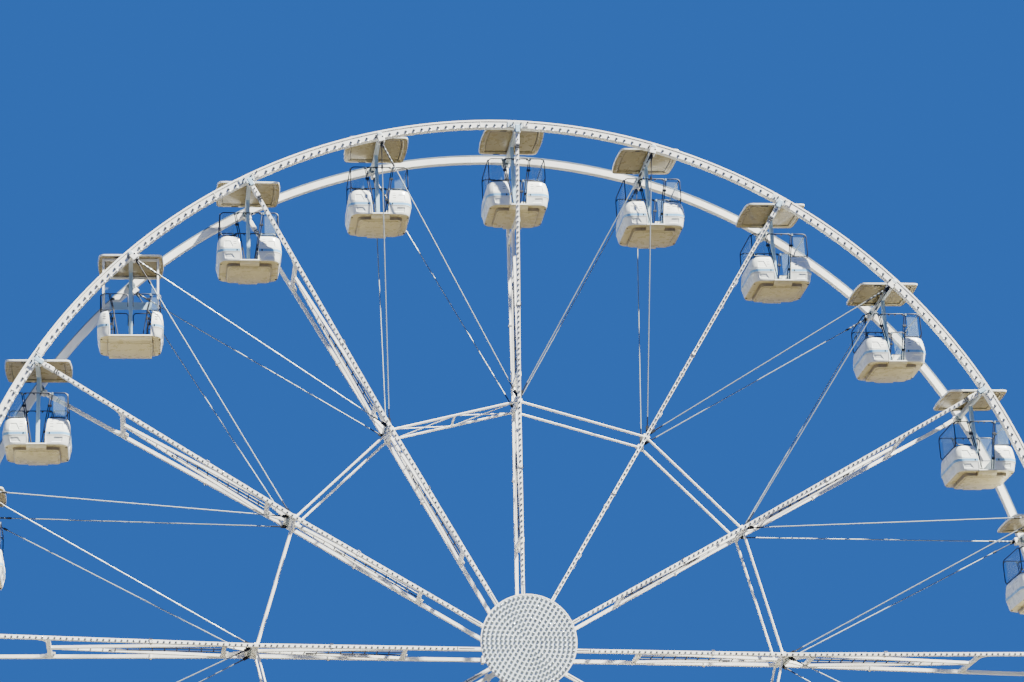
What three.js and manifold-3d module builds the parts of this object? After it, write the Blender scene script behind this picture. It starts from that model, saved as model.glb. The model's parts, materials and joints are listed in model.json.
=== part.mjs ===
// Transportable ferris wheel: two ring rims on twelve spoke frames, with
// twenty-four hanging cabins, turning between two A-frames on a ground frame.
// Millimetres. X is across the wheel, Y along its axle (-Y is the front), Z up.
// The origin is on the ground, straight below the middle of the axle.

import * as THREE from "three";
import { mergeVertices } from "three/addons/utils/BufferGeometryUtils.js";
import Module from "manifold-3d";

const wasm = await Module();
wasm.setup();

// Clearances
const seat = 0.3; // between pieces that touch
const runningGap = 0.3; // between a pin and its bore
const overlap = 20; // how far the members of one piece run into each other

// Wheel
const axleHeight = 18100;
const restTurn = (-1.85 * Math.PI) / 180; // how far the first spoke stands above level
const rimOuterRadius = 14970;
const rimInnerRadius = 14750;
const rimWidth = 170;
const rimMiddleY = 1137;
const rimSides = 48;
const spokeCount = 12;
const cabinCount = 24;
const spokeStep = (2 * Math.PI) / spokeCount;
const cabinStep = (2 * Math.PI) / cabinCount;
const spokePivotRadius = 14785; // of the cabins at the spokes
const bayPivotRadius = 14850; // of the cabins between two spokes
const pinRadius = 50;
const pinSides = 6;

// Bearing block at each cabin, let into the rim from below
const blockBottomRadius = 14600;
const blockTopRadius = 14800;
const blockLength = 300;
const blockWidth = 144;

// Spoke frame, along its radius
const drumRadius = 950; // over the corners of the ring that the hub's sockets reach
const drumSides = 24;
const beamWidth = 120;
const beamDepth = 85;
const beamInnerY = 565;
const nodeRadius = 7050;
const innerBarRadius = 3080;
const outerBarRadius = 7740;
const yokeRadius = 12170;
const ringRadius = 6925;
const ringY = 440;
const ringTubeRadius = 31;
const nodeBarLength = 160; // along the spoke
const nodeStrapLength = 60;
const crossbarLength = 110; // along the spoke
const crossbarDepth = 76;
const braceWidth = 95;
const braceDepth = 66;
const gussetLength = 340;
const gussetReach = 260;
const gussetSteps = 4; // sides of the hollow edge

// Clevis block and tie rods at the middle of each spoke
const tieBlockBottom = 7030;
const tieBlockTop = 7130;
const tieRodRadius = 17;
const tieRodY = 450;
const tieRodRoot = 40; // length of a rod inside the clevis block
const tieRodEndRadius = 14700; // the point inside the bearing block that a rod aims at

// Hub
const drumHalfWidth = 660;
const barrelRadius = 600;
const socketMargin = 15; // round the end of a beam
const socketRoot = 60; // length of a socket inside the barrel
const shaftRadius = 160;
const discRadius = 1240;
const rearDiscRadius = 320; // the rear one is hidden by the front one, so it is small
const discBackY = 1440;
const discThickness = 56;
const discSides = 48;

// A-frames
const headY = 1010;
const headRadius = 430;
const headLength = 260;
const footX = 6400;
const footY = 4200;
const legWidth = 560;
const legDepth = 260;
const legStart = 190; // from the middle of the axle down the frame
const tieBeamHeight = 9000;
const tieBeamWidth = 180;
const tieBeamDepth = 280;
const footPlateLength = 900;
const footPlateWidth = 300;
const footPlateThickness = 60;

// Ground frame, deck and steps
const baseHeight = 350;
const baseWidth = 300;
const baseEndX = 6900;
const deckTop = 850;
const deckThickness = 120;
const deckHalfX = 3150;
const deckHalfY = 3000;
const deckPostWidth = 140;
const railingHeight = 1100;
const railingInset = 40;
const railingPostWidth = 60;
const railWidth = 50;
const cabinPathHalfY = 950;
const stepCount = 5;
const stepRun = 268;
const stepHalfWidth = 900;
const stepHook = 40; // the strip that hangs the steps on the edge of the deck
const stringerRises = 2.2; // height of the stringer at the deck, in rises

// Cabin, measured from its pivot
const canopyBottom = 93;
const canopyTop = 156;
const canopyHalfX = 885;
const canopyHalfY = 815;
const canopyTaper = 20;
const canopyCorner = 0.09; // cut corner, as a share of the half width
const hangerBeamWidth = 110;
const hangerBeamHeight = 130;
const hangerBeamHalfY = 1040;
const poleWidth = 100;
const tubRim = -1450;
const tubWaist = -1840;
const tubEdge = -2185;
const tubBottom = -2305;
const tubRimHalfX = 775;
const tubRimHalfY = 715;
const tubWaistHalfX = 880;
const tubWaistHalfY = 805;
const tubEdgeHalfX = 815;
const tubEdgeHalfY = 765;
const tubBottomHalfX = 520;
const tubBottomHalfY = 510;
const tubCorner = 0.16;
const cabinFloor = -2154;
const seatHeight = -1700;
const seatBayHalfX = 720;
const seatBayHalfY = 660;
const doorHalfWidth = 235;
const wideDoorHalfWidth = 550;
const sillMargin = 23; // how far the sill runs past each side of the door
const sillDrop = 6; // from the floor down to the sill
const sillLip = 30;
const sillHalfY = 800;
const keelHalfY = 700; // the sill's flat underside
const keelLift = 15; // of the keel over the tub's underside
const screenTop = -725;
const screenHalfX = 755;
const screenHalfY = 655;
const screenThickness = 24;
const screenGapHalfWidth = 300;
const postWidth = 50;
const postInset = 30; // from the outer faces of the screens
const accessibleCabin = 9; // the one that stands at 135 degrees

// Finishes
const paint = { color: 0xe6e3d8, roughness: 0.35, metalness: 0.0 };
const galvanised = { color: 0xaab2b5, roughness: 0.5, metalness: 0.8 };
const mouldedWhite = { color: 0xe9ebe8, roughness: 0.3, metalness: 0.0 };
const discGrey = { color: 0xcdd7da, roughness: 0.4, metalness: 0.0 };
const deckGrey = { color: 0x8f9496, roughness: 0.6, metalness: 0.6 };

// Solids

function solidOf(geometry) {
  const plain = geometry.clone();
  plain.deleteAttribute("normal");
  plain.deleteAttribute("uv");
  const merged = mergeVertices(plain, 1e-3);
  return new wasm.Manifold(
    new wasm.Mesh({
      numProp: 3,
      vertProperties: new Float32Array(merged.attributes.position.array),
      triVerts: new Uint32Array(merged.index.array),
    })
  );
}

function geometryOf(solid) {
  const mesh = solid.getMesh();
  const geometry = new THREE.BufferGeometry();
  geometry.setAttribute("position", new THREE.BufferAttribute(mesh.vertProperties, 3));
  geometry.setIndex(new THREE.BufferAttribute(mesh.triVerts, 1));
  geometry.computeVertexNormals();
  return geometry;
}

function join(geometries) {
  return geometries.map(solidOf).reduce((whole, piece) => whole.add(piece));
}

function cut(solid, geometries) {
  return geometries.map(solidOf).reduce((whole, tool) => whole.subtract(tool), solid);
}

function namedMesh(name, solid, finish) {
  const mesh = new THREE.Mesh(geometryOf(solid), new THREE.MeshStandardMaterial(finish));
  mesh.name = name;
  return mesh;
}

function twoDigits(number) {
  return String(number).padStart(2, "0");
}

// Shapes

function block(lowX, highX, lowY, highY, lowZ, highZ) {
  const geometry = new THREE.BoxGeometry(highX - lowX, highY - lowY, highZ - lowZ);
  return geometry.translate((lowX + highX) / 2, (lowY + highY) / 2, (lowZ + highZ) / 2);
}

// A bar of rectangular section; "across" is the direction that its width lies along.
function squareBar(from, to, width, depth, across) {
  const along = new THREE.Vector3().subVectors(to, from);
  const length = along.length();
  along.normalize();
  const side = across.clone().addScaledVector(along, -across.dot(along)).normalize();
  const up = new THREE.Vector3().crossVectors(along, side);
  const turn = new THREE.Matrix4().makeBasis(side, up, along);
  const geometry = new THREE.BoxGeometry(width, depth, length);
  geometry.applyMatrix4(turn);
  const middle = new THREE.Vector3().addVectors(from, to).multiplyScalar(0.5);
  return geometry.translate(middle.x, middle.y, middle.z);
}

function roundBar(from, to, radius, sides) {
  const along = new THREE.Vector3().subVectors(to, from);
  const geometry = new THREE.CylinderGeometry(radius, radius, along.length(), sides);
  const turn = new THREE.Quaternion().setFromUnitVectors(
    new THREE.Vector3(0, 1, 0),
    along.clone().normalize()
  );
  geometry.applyQuaternion(turn);
  const middle = new THREE.Vector3().addVectors(from, to).multiplyScalar(0.5);
  return geometry.translate(middle.x, middle.y, middle.z);
}

// A cylinder along Y; "turned" sets its first corner half a side round.
function barrel(radius, lowY, highY, sides, turned) {
  const geometry = new THREE.CylinderGeometry(radius, radius, highY - lowY, sides);
  geometry.rotateY(turned ? Math.PI / sides : 0);
  return geometry.translate(0, (lowY + highY) / 2, 0);
}

// The corner radius of a many-sided bore whose flats just clear a round pin.
function boreRadius(radius, sides) {
  return (radius + runningGap) / Math.cos(Math.PI / sides);
}

// A flat outline with its depth along Z; on a spoke it is drawn as (radius, Y).
function plate(points, depth) {
  const outline = new THREE.Shape(points.map(([x, y]) => new THREE.Vector2(x, y)));
  const geometry = new THREE.ExtrudeGeometry(outline, { depth, bevelEnabled: false });
  return geometry.translate(0, 0, -depth / 2);
}

function flatBar(startX, startY, endX, endY, width, depth) {
  const from = new THREE.Vector3(startX, startY, 0);
  const to = new THREE.Vector3(endX, endY, 0);
  return squareBar(from, to, width, depth, new THREE.Vector3(-(endY - startY), endX - startX, 0));
}

// A rectangle with cut corners, drawn through several levels of its own size.
function loft(levels, corner) {
  const outline = new THREE.Shape();
  outline.moveTo(1, -1 + corner);
  outline.lineTo(1, 1 - corner);
  outline.lineTo(1 - corner, 1);
  outline.lineTo(-1 + corner, 1);
  outline.lineTo(-1, 1 - corner);
  outline.lineTo(-1, -1 + corner);
  outline.lineTo(-1 + corner, -1);
  outline.lineTo(1 - corner, -1);
  outline.closePath();
  const steps = levels.length - 1;
  const geometry = new THREE.ExtrudeGeometry(outline, { depth: steps, steps, bevelEnabled: false });
  const position = geometry.attributes.position;
  for (let i = 0; i < position.count; i++) {
    const level = levels[Math.round(position.getZ(i))];
    position.setXYZ(i, position.getX(i) * level.x, position.getY(i) * level.y, level.z);
  }
  return geometry;
}

// Wheel: rims

// The ring's flats lie at its true radius, with one flat over each cabin.
function rimRing(middleY) {
  const low = middleY - rimWidth / 2;
  const high = middleY + rimWidth / 2;
  const inner = rimInnerRadius / Math.cos(Math.PI / rimSides);
  const outer = rimOuterRadius / Math.cos(Math.PI / rimSides);
  const profile = [
    new THREE.Vector2(inner, low),
    new THREE.Vector2(outer, low),
    new THREE.Vector2(outer, high),
    new THREE.Vector2(inner, high),
    new THREE.Vector2(inner, low),
  ];
  return new THREE.LatheGeometry(profile, rimSides, Math.PI / rimSides);
}

// The block at one cabin; "margin" grows it, to trim what comes up to it.
function bearingBlock(angle, middleY, margin) {
  const geometry = block(
    blockBottomRadius - margin,
    blockTopRadius,
    middleY - blockWidth / 2 - margin,
    middleY + blockWidth / 2 + margin,
    -blockLength / 2 - margin,
    blockLength / 2 + margin
  );
  return geometry.rotateY(-angle);
}

// Every second cabin hangs at the end of a spoke, from the first one on.
function pivotRadius(index) {
  return index % 2 === 0 ? spokePivotRadius : bayPivotRadius;
}

function bearingBore(index, middleY) {
  const angle = index * cabinStep;
  const radius = pivotRadius(index);
  const geometry = barrel(boreRadius(pinRadius, pinSides), -blockWidth, blockWidth, pinSides, true);
  return geometry.translate(radius * Math.cos(angle), middleY, radius * Math.sin(angle));
}

function makeRim(name, middleY) {
  const places = Array.from({ length: cabinCount }, (_, i) => i);
  const blocks = places.map((index) => bearingBlock(index * cabinStep, middleY, 0));
  const ring = join([rimRing(middleY), ...blocks]);
  return namedMesh(name, cut(ring, places.map((index) => bearingBore(index, middleY))), paint);
}

// Wheel: spoke frames. Each lies along +X and is turned to its own angle.

function beamY(radius) {
  const slope = (rimMiddleY - beamInnerY) / (blockBottomRadius - nodeRadius);
  return radius < nodeRadius ? beamInnerY : beamInnerY + (radius - nodeRadius) * slope;
}

function beamInside(radius) {
  return beamY(radius) - beamWidth / 2;
}

function spokeBeam(side) {
  const root = drumRadius * Math.cos(Math.PI / drumSides) + seat;
  const tip = blockBottomRadius - seat;
  const half = beamWidth / 2;
  const points = [
    [root, side * (beamInnerY - half)],
    [nodeRadius, side * (beamInnerY - half)],
    [tip, side * (beamY(tip) - half)],
    [tip, side * (beamY(tip) + half)],
    [nodeRadius, side * (beamInnerY + half)],
    [root, side * (beamInnerY + half)],
  ];
  return plate(side > 0 ? points : points.reverse(), beamDepth);
}

function crossbar(middleRadius, length, depth) {
  const low = middleRadius - length / 2;
  const reach = beamY(middleRadius);
  return block(low, low + length, -reach, reach, -depth / 2, depth / 2);
}

// The corner plate on the outward side of the yoke, with a hollow edge that
// leaves the crossbar and meets the beam smoothly.
function yokeGusset(side) {
  const foot = yokeRadius + crossbarLength / 2 - seat;
  const top = foot + gussetLength;
  const points = [[foot, side * (beamInside(foot) + overlap)]];
  for (let i = 0; i <= gussetSteps; i++) {
    const turn = ((i / gussetSteps) * Math.PI) / 2;
    const radius = top - gussetLength * Math.cos(turn);
    points.push([radius, side * (beamInside(radius) + 1 - gussetReach * (1 - Math.sin(turn)))]);
  }
  return plate(side > 0 ? points.reverse() : points, crossbarDepth);
}

// One half of each K: from the middle of the bar further out to this beam.
function spokeBraces(side) {
  return [
    [yokeRadius, outerBarRadius],
    [ringRadius, innerBarRadius],
  ].map(([apex, foot]) =>
    flatBar(apex, side * overlap, foot, side * beamInside(foot), braceWidth, braceDepth)
  );
}

// A strut of the middle ring, from this spoke to the next one.
function ringStrut(side) {
  const from = new THREE.Vector3(ringRadius, side * ringY, 0);
  const to = from.clone().applyAxisAngle(new THREE.Vector3(0, 1, 0), -spokeStep);
  return roundBar(from, to, ringTubeRadius, 6);
}

function innerNodeBar(margin) {
  return block(
    tieBlockBottom - nodeBarLength - margin,
    tieBlockBottom + margin,
    -beamInnerY,
    beamInnerY,
    -beamDepth / 2 - margin,
    beamDepth / 2 + margin
  );
}

function makeSpoke(index) {
  const struts = cut(join([ringStrut(-1), ringStrut(1)]), [innerNodeBar(seat).rotateY(-spokeStep)]);
  const frame = join([
    spokeBeam(-1),
    spokeBeam(1),
    crossbar(yokeRadius, crossbarLength, crossbarDepth),
    crossbar(outerBarRadius, crossbarLength, crossbarDepth),
    crossbar(tieBlockTop + seat + nodeStrapLength / 2, nodeStrapLength, crossbarDepth),
    crossbar(innerBarRadius, crossbarLength, crossbarDepth),
    innerNodeBar(0),
    ...[-1, 1].flatMap((side) => [yokeGusset(side), ...spokeBraces(side)]),
  ]);
  const mesh = namedMesh(`spoke_${twoDigits(index + 1)}`, frame.add(struts), paint);
  mesh.rotation.y = -index * spokeStep;
  return mesh;
}

// A clevis block between the beams of a spoke, with a rod to the front and
// rear rim at the cabin on either side.
function tieRod(yard, turn) {
  const end = new THREE.Vector3(
    tieRodEndRadius * Math.cos(cabinStep),
    yard * rimMiddleY,
    turn * tieRodEndRadius * Math.sin(cabinStep)
  );
  const face = new THREE.Vector3(
    (tieBlockBottom + tieBlockTop) / 2,
    yard * tieRodY,
    (turn * beamDepth) / 2
  );
  const along = new THREE.Vector3().subVectors(end, face).normalize();
  const start = face.clone().addScaledVector(along, -tieRodRoot);
  return roundBar(start, end, tieRodRadius, 4);
}

function makeTieRods(index) {
  const reach = beamInside(nodeRadius) - seat;
  const half = beamDepth / 2;
  const clevis = block(tieBlockBottom + seat, tieBlockTop, -reach, reach, -half, half);
  const rods = [-1, 1].flatMap((yard) => [-1, 1].map((turn) => tieRod(yard, turn)));
  const blocks = [-1, 1].flatMap((yard) =>
    [-1, 1].map((turn) => bearingBlock(turn * cabinStep, yard * rimMiddleY, seat))
  );
  const whole = cut(join([clevis, ...rods]), blocks);
  const mesh = namedMesh(`tie_rods_${twoDigits(index + 1)}`, whole, galvanised);
  mesh.rotation.y = -index * spokeStep;
  return mesh;
}

// Wheel: hub

// The socket on the hub that one beam of a spoke stands on.
function beamSocket(index, side) {
  const reach = drumRadius * Math.cos(Math.PI / drumSides);
  const halfWidth = beamWidth / 2 + socketMargin;
  const halfDepth = beamDepth / 2 + socketMargin;
  const middle = side * beamInnerY;
  const socket = block(
    barrelRadius - socketRoot,
    reach,
    middle - halfWidth,
    middle + halfWidth,
    -halfDepth,
    halfDepth
  );
  return socket.rotateY(-index * spokeStep);
}

function makeHub() {
  const end = discBackY - seat;
  const profile = [
    new THREE.Vector2(0, -end),
    new THREE.Vector2(shaftRadius, -end),
    new THREE.Vector2(shaftRadius, -drumHalfWidth),
    new THREE.Vector2(barrelRadius, -drumHalfWidth),
    new THREE.Vector2(barrelRadius, drumHalfWidth),
    new THREE.Vector2(shaftRadius, drumHalfWidth),
    new THREE.Vector2(shaftRadius, end),
    new THREE.Vector2(0, end),
  ];
  const turned = new THREE.LatheGeometry(profile, drumSides, Math.PI / drumSides);
  const sockets = [];
  for (let i = 0; i < spokeCount; i++) {
    sockets.push(beamSocket(i, -1), beamSocket(i, 1));
  }
  return namedMesh("hub_drum", join([turned, ...sockets]), paint);
}

function makeDisc(name, radius, side) {
  const low = side > 0 ? discBackY : -discBackY - discThickness;
  return namedMesh(name, solidOf(barrel(radius, low, low + discThickness, discSides, false)), discGrey);
}

// Cabins. Each is made round its own pivot and hangs upright from it.

function canopy() {
  const levels = [
    { x: canopyHalfX - canopyTaper, y: canopyHalfY - canopyTaper, z: canopyBottom },
    { x: canopyHalfX, y: canopyHalfY, z: canopyTop },
  ];
  return loft(levels, canopyCorner);
}

function hanger() {
  const beam = block(
    -hangerBeamWidth / 2,
    hangerBeamWidth / 2,
    -hangerBeamHalfY,
    hangerBeamHalfY,
    -hangerBeamHeight / 2,
    hangerBeamHeight / 2
  );
  const pinEnd = rimMiddleY + blockWidth / 2;
  const pins = barrel(pinRadius, -pinEnd, pinEnd, pinSides, false);
  const from = new THREE.Vector3(0, 0, cabinFloor - overlap);
  const to = new THREE.Vector3(0, 0, canopyBottom + overlap);
  const pole = squareBar(from, to, poleWidth, poleWidth, new THREE.Vector3(1, 0, 0));
  return [beam, pins, pole];
}

function tubShell() {
  const levels = [
    { x: tubBottomHalfX, y: tubBottomHalfY, z: tubBottom },
    { x: tubEdgeHalfX, y: tubEdgeHalfY, z: tubEdge },
    { x: tubWaistHalfX, y: tubWaistHalfY, z: tubWaist },
    { x: tubRimHalfX, y: tubRimHalfY, z: tubRim },
  ];
  return loft(levels, tubCorner);
}

function tubInside() {
  const x = seatBayHalfX;
  const y = seatBayHalfY;
  return block(-x, x, -y, y, seatHeight, tubRim + overlap);
}

// The sill under both doors, in one with the keel that runs under the tub between them.
function sill(halfWidth) {
  const top = cabinFloor - sillDrop;
  const keel = tubBottom + keelLift;
  const points = [
    [sillHalfY, top],
    [-sillHalfY, top],
    [-sillHalfY, top - sillLip],
    [-keelHalfY, keel],
    [keelHalfY, keel],
    [sillHalfY, top - sillLip],
  ];
  const geometry = plate(points, 2 * halfWidth);
  const turn = new THREE.Matrix4().makeBasis(
    new THREE.Vector3(0, 1, 0),
    new THREE.Vector3(0, 0, 1),
    new THREE.Vector3(1, 0, 0)
  );
  return geometry.applyMatrix4(turn);
}

function screens() {
  const x = screenHalfX;
  const y = screenHalfY;
  const inX = x - screenThickness;
  const inY = y - screenThickness;
  return cut(solidOf(block(-x, x, -y, y, tubRim - overlap, screenTop)), [
    block(-inX, inX, -inY, inY, tubRim - 2 * overlap, screenTop + overlap),
  ]);
}

// The wide-door cabin's posts, from the rim of its tub up to its canopy.
function cornerPosts() {
  const x = screenHalfX - postInset;
  const y = screenHalfY - postInset;
  return [-1, 1].flatMap((sideX) =>
    [-1, 1].map((sideY) => {
      const from = new THREE.Vector3(sideX * x, sideY * y, tubRim - 2 * overlap);
      const to = new THREE.Vector3(sideX * x, sideY * y, canopyBottom + overlap);
      return squareBar(from, to, postWidth, postWidth, new THREE.Vector3(1, 0, 0));
    })
  );
}

function makeCabin(index) {
  const accessible = index === accessibleCabin;
  const door = accessible ? wideDoorHalfWidth : doorHalfWidth;
  const gap = accessible ? wideDoorHalfWidth : screenGapHalfWidth;
  const through = sillHalfY + overlap;
  const doorway = block(-door, door, -through, through, cabinFloor, tubRim + overlap);
  const tub = cut(solidOf(tubShell()), [tubInside(), doorway]).add(solidOf(sill(door + sillMargin)));
  const gapLow = tubRim - 3 * overlap;
  const screenGap = block(-gap, gap, -through, through, gapLow, screenTop + overlap);
  const glass = cut(screens(), [screenGap]);
  const frame = join([...hanger(), canopy(), ...(accessible ? cornerPosts() : [])]);
  const mesh = namedMesh(`cabin_${twoDigits(index + 1)}`, tub.add(glass).add(frame), mouldedWhite);
  const angle = restTurn + index * cabinStep;
  mesh.position.set(pivotRadius(index) * Math.cos(angle), 0, pivotRadius(index) * Math.sin(angle));
  return mesh;
}

// A-frames

// Both legs as one flat inverted V, drawn in its own plane and then leaned outwards.
function legPair(side) {
  const rise = axleHeight - baseHeight;
  const slant = Math.hypot(rise, footY - headY);
  const spread = footX / slant;
  const half = (legWidth / 2) * Math.hypot(1, spread);
  const end = slant + legWidth;
  const points = [
    [spread * end + half, end],
    [spread * legStart + half, legStart],
    [-spread * legStart - half, legStart],
    [-spread * end - half, end],
    [-spread * end + half, end],
    [0, half / spread],
    [spread * end - half, end],
  ];
  const downhill = new THREE.Vector3(0, (side * (footY - headY)) / slant, -rise / slant);
  const acrossWheel = new THREE.Vector3(1, 0, 0);
  const outward = new THREE.Vector3().crossVectors(acrossWheel, downhill);
  const geometry = plate(points, legDepth);
  geometry.applyMatrix4(new THREE.Matrix4().makeBasis(acrossWheel, downhill, outward));
  return geometry.translate(0, side * headY, axleHeight);
}

function legFoot(side, sideX) {
  const low = baseHeight + seat;
  const x = sideX * footX;
  const y = side * footY;
  const halfX = footPlateLength / 2;
  const halfY = footPlateWidth / 2;
  return block(x - halfX, x + halfX, y - halfY, y + halfY, low, low + footPlateThickness);
}

function tieBeam(side) {
  const share = (axleHeight - tieBeamHeight) / (axleHeight - baseHeight);
  const y = side * (headY + (footY - headY) * share);
  const x = footX * share;
  const low = tieBeamHeight - tieBeamDepth / 2;
  return block(-x, x, y - tieBeamWidth / 2, y + tieBeamWidth / 2, low, low + tieBeamDepth);
}

function makeFrame(name, side) {
  const low = side * headY - headLength / 2;
  const high = low + headLength;
  const head = barrel(headRadius, low, high, drumSides, false).translate(0, 0, axleHeight);
  const wall = boreRadius(shaftRadius, drumSides);
  const bore = barrel(wall, low - overlap, high + overlap, drumSides, false);
  bore.translate(0, 0, axleHeight);
  const ground = block(-2 * footX, 2 * footX, -2 * footY, 2 * footY, -legWidth, baseHeight + seat);
  const legs = cut(solidOf(legPair(side)), [ground]);
  const whole = legs.add(join([head, legFoot(side, -1), legFoot(side, 1), tieBeam(side)]));
  return namedMesh(name, cut(whole, [bore]), paint);
}

// Ground frame, deck and steps

function makeBaseFrame() {
  const half = baseWidth / 2;
  const railX = deckHalfX - half;
  const bars = [-1, 1].flatMap((sideX) => [
    block(sideX * footX - half, sideX * footX + half, -footY - half, footY + half, 0, baseHeight),
    block(sideX * railX - half, sideX * railX + half, -footY - half, footY + half, 0, baseHeight),
    ...[-1, 1].map((sideY) => {
      const near = sideX * (railX - half);
      const far = sideX * baseEndX;
      const y = sideY * footY;
      return block(Math.min(near, far), Math.max(near, far), y - half, y + half, 0, baseHeight);
    }),
  ]);
  const crossY = [-deckHalfY + half, 0, deckHalfY - half];
  const crosses = crossY.map((y) => {
    const reach = y === 0 ? footX : railX;
    return block(-reach, reach, y - half, y + half, 0, baseHeight);
  });
  return namedMesh("base_frame", join([...bars, ...crosses]), paint);
}

function standingPost(x, y, width, low, high) {
  return block(x - width / 2, x + width / 2, y - width / 2, y + width / 2, low, high);
}

// The railing round one corner: a post at each end and one at the turn.
function railingCorner(sideX, sideY) {
  const x = sideX * (deckHalfX - railingInset);
  const y = sideY * (deckHalfY - railingInset);
  const endX = sideX * (stepHalfWidth + railingPostWidth);
  const endY = sideY * (cabinPathHalfY + railingPostWidth / 2);
  const top = deckTop + railingHeight;
  const railHeight = top - railWidth;
  const posts = [[x, y], [endX, y], [x, endY]].map(([px, py]) =>
    standingPost(px, py, railingPostWidth, deckTop - overlap, top)
  );
  const turn = new THREE.Vector3(x, y, railHeight);
  const upward = new THREE.Vector3(0, 0, 1);
  const rails = [[endX, y], [x, endY]].map(([px, py]) =>
    squareBar(turn, new THREE.Vector3(px, py, railHeight), railWidth, railWidth, upward)
  );
  return [...posts, ...rails];
}

function makeDeck() {
  const underside = deckTop - deckThickness;
  const plateBlock = block(-deckHalfX, deckHalfX, -deckHalfY, deckHalfY, underside, deckTop);
  const x = deckHalfX - baseWidth / 2;
  const y = deckHalfY - baseWidth / 2;
  const posts = [-x, 0, x].flatMap((px) =>
    [-y, 0, y].map((py) =>
      standingPost(px, py, deckPostWidth, baseHeight + seat, underside + overlap)
    )
  );
  const corners = [-1, 1].flatMap((sideX) => [-1, 1].map((sideY) => railingCorner(sideX, sideY)));
  return namedMesh("boarding_deck", join([plateBlock, ...posts, ...corners.flat()]), deckGrey);
}

function makeSteps(name, side) {
  const rise = deckTop / (stepCount + 1);
  const start = deckHalfY + seat;
  const points = [[start, deckTop], [start + stepHook, deckTop], [start + stepHook, deckTop - rise]];
  for (let i = 1; i <= stepCount; i++) {
    points.push([start + i * stepRun, deckTop - i * rise]);
    points.push([start + i * stepRun, deckTop - (i + 1) * rise]);
  }
  points.push([start + (stepCount - 1) * stepRun, 0], [start, deckTop - stringerRises * rise]);
  const outline = new THREE.Shape(points.map(([out, height]) => new THREE.Vector2(out, height)));
  const depth = 2 * stepHalfWidth;
  const geometry = new THREE.ExtrudeGeometry(outline, { depth, bevelEnabled: false });
  geometry.translate(0, 0, -stepHalfWidth);
  geometry.applyMatrix4(
    new THREE.Matrix4().makeBasis(
      new THREE.Vector3(0, side, 0),
      new THREE.Vector3(0, 0, 1),
      new THREE.Vector3(side, 0, 0)
    )
  );
  return namedMesh(name, solidOf(geometry), deckGrey);
}

// The whole ride

const ferrisWheel = new THREE.Group();
const wheel = new THREE.Group();
const cabins = new THREE.Group();
wheel.position.z = axleHeight;
wheel.rotation.y = -restTurn;
cabins.position.z = axleHeight;

wheel.add(makeHub());
wheel.add(makeDisc("front_disc", discRadius, -1));
wheel.add(makeDisc("rear_disc", rearDiscRadius, 1));
wheel.add(makeRim("front_rim", -rimMiddleY));
wheel.add(makeRim("rear_rim", rimMiddleY));
for (let i = 0; i < spokeCount; i++) {
  wheel.add(makeSpoke(i));
  wheel.add(makeTieRods(i));
}
for (let i = 0; i < cabinCount; i++) {
  cabins.add(makeCabin(i));
}

ferrisWheel.add(wheel);
ferrisWheel.add(cabins);
ferrisWheel.add(makeFrame("front_a_frame", -1));
ferrisWheel.add(makeFrame("rear_a_frame", 1));
ferrisWheel.add(makeBaseFrame());
ferrisWheel.add(makeDeck());
ferrisWheel.add(makeSteps("front_steps", -1));
ferrisWheel.add(makeSteps("rear_steps", 1));

export default ferrisWheel;
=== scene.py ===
"""A fairground ferris wheel: its lamps, cabins, ladders, stays and stage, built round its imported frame."""

import json
import math

import bmesh
import bpy
from bpy.props import FloatProperty, FloatVectorProperty, IntProperty, PointerProperty
from mathutils import Matrix, Vector


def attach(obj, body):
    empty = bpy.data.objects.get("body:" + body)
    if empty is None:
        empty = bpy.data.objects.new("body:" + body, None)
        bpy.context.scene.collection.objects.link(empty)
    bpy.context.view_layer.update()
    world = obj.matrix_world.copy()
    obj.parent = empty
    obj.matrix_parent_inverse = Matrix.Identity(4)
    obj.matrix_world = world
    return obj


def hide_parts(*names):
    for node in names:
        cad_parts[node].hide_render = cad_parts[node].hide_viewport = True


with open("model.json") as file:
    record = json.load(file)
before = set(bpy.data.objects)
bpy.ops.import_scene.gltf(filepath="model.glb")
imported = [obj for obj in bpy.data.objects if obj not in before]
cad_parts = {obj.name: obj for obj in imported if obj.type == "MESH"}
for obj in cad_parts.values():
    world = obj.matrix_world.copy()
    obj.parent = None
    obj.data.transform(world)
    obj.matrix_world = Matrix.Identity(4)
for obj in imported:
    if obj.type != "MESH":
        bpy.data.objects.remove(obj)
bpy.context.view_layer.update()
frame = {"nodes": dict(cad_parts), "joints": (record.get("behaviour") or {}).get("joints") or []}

bl_info = {
    "name": "Ferris Wheel",
    "version": (1, 0, 0),
    "blender": (4, 5, 0),
    "location": "View3D > Sidebar > Ferris Wheel",
    "description": "Builds the lamps, cabins, ladders, stays and stage of a fairground ferris wheel",
    "category": "Add Mesh",
}

JOINTS = {joint["name"]: joint for joint in frame["joints"]}
AXLE = Vector(JOINTS["wheel_spin"]["pos_m"])
PIVOTS = {
    joint["child"]: Vector(joint["pos_m"])
    for joint in frame["joints"]
    if joint["child"].startswith("cabin_")
}
WIDE_CABIN = "cabin_10"
FINISHES = {}
SIDES = (-1, 1)

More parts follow.
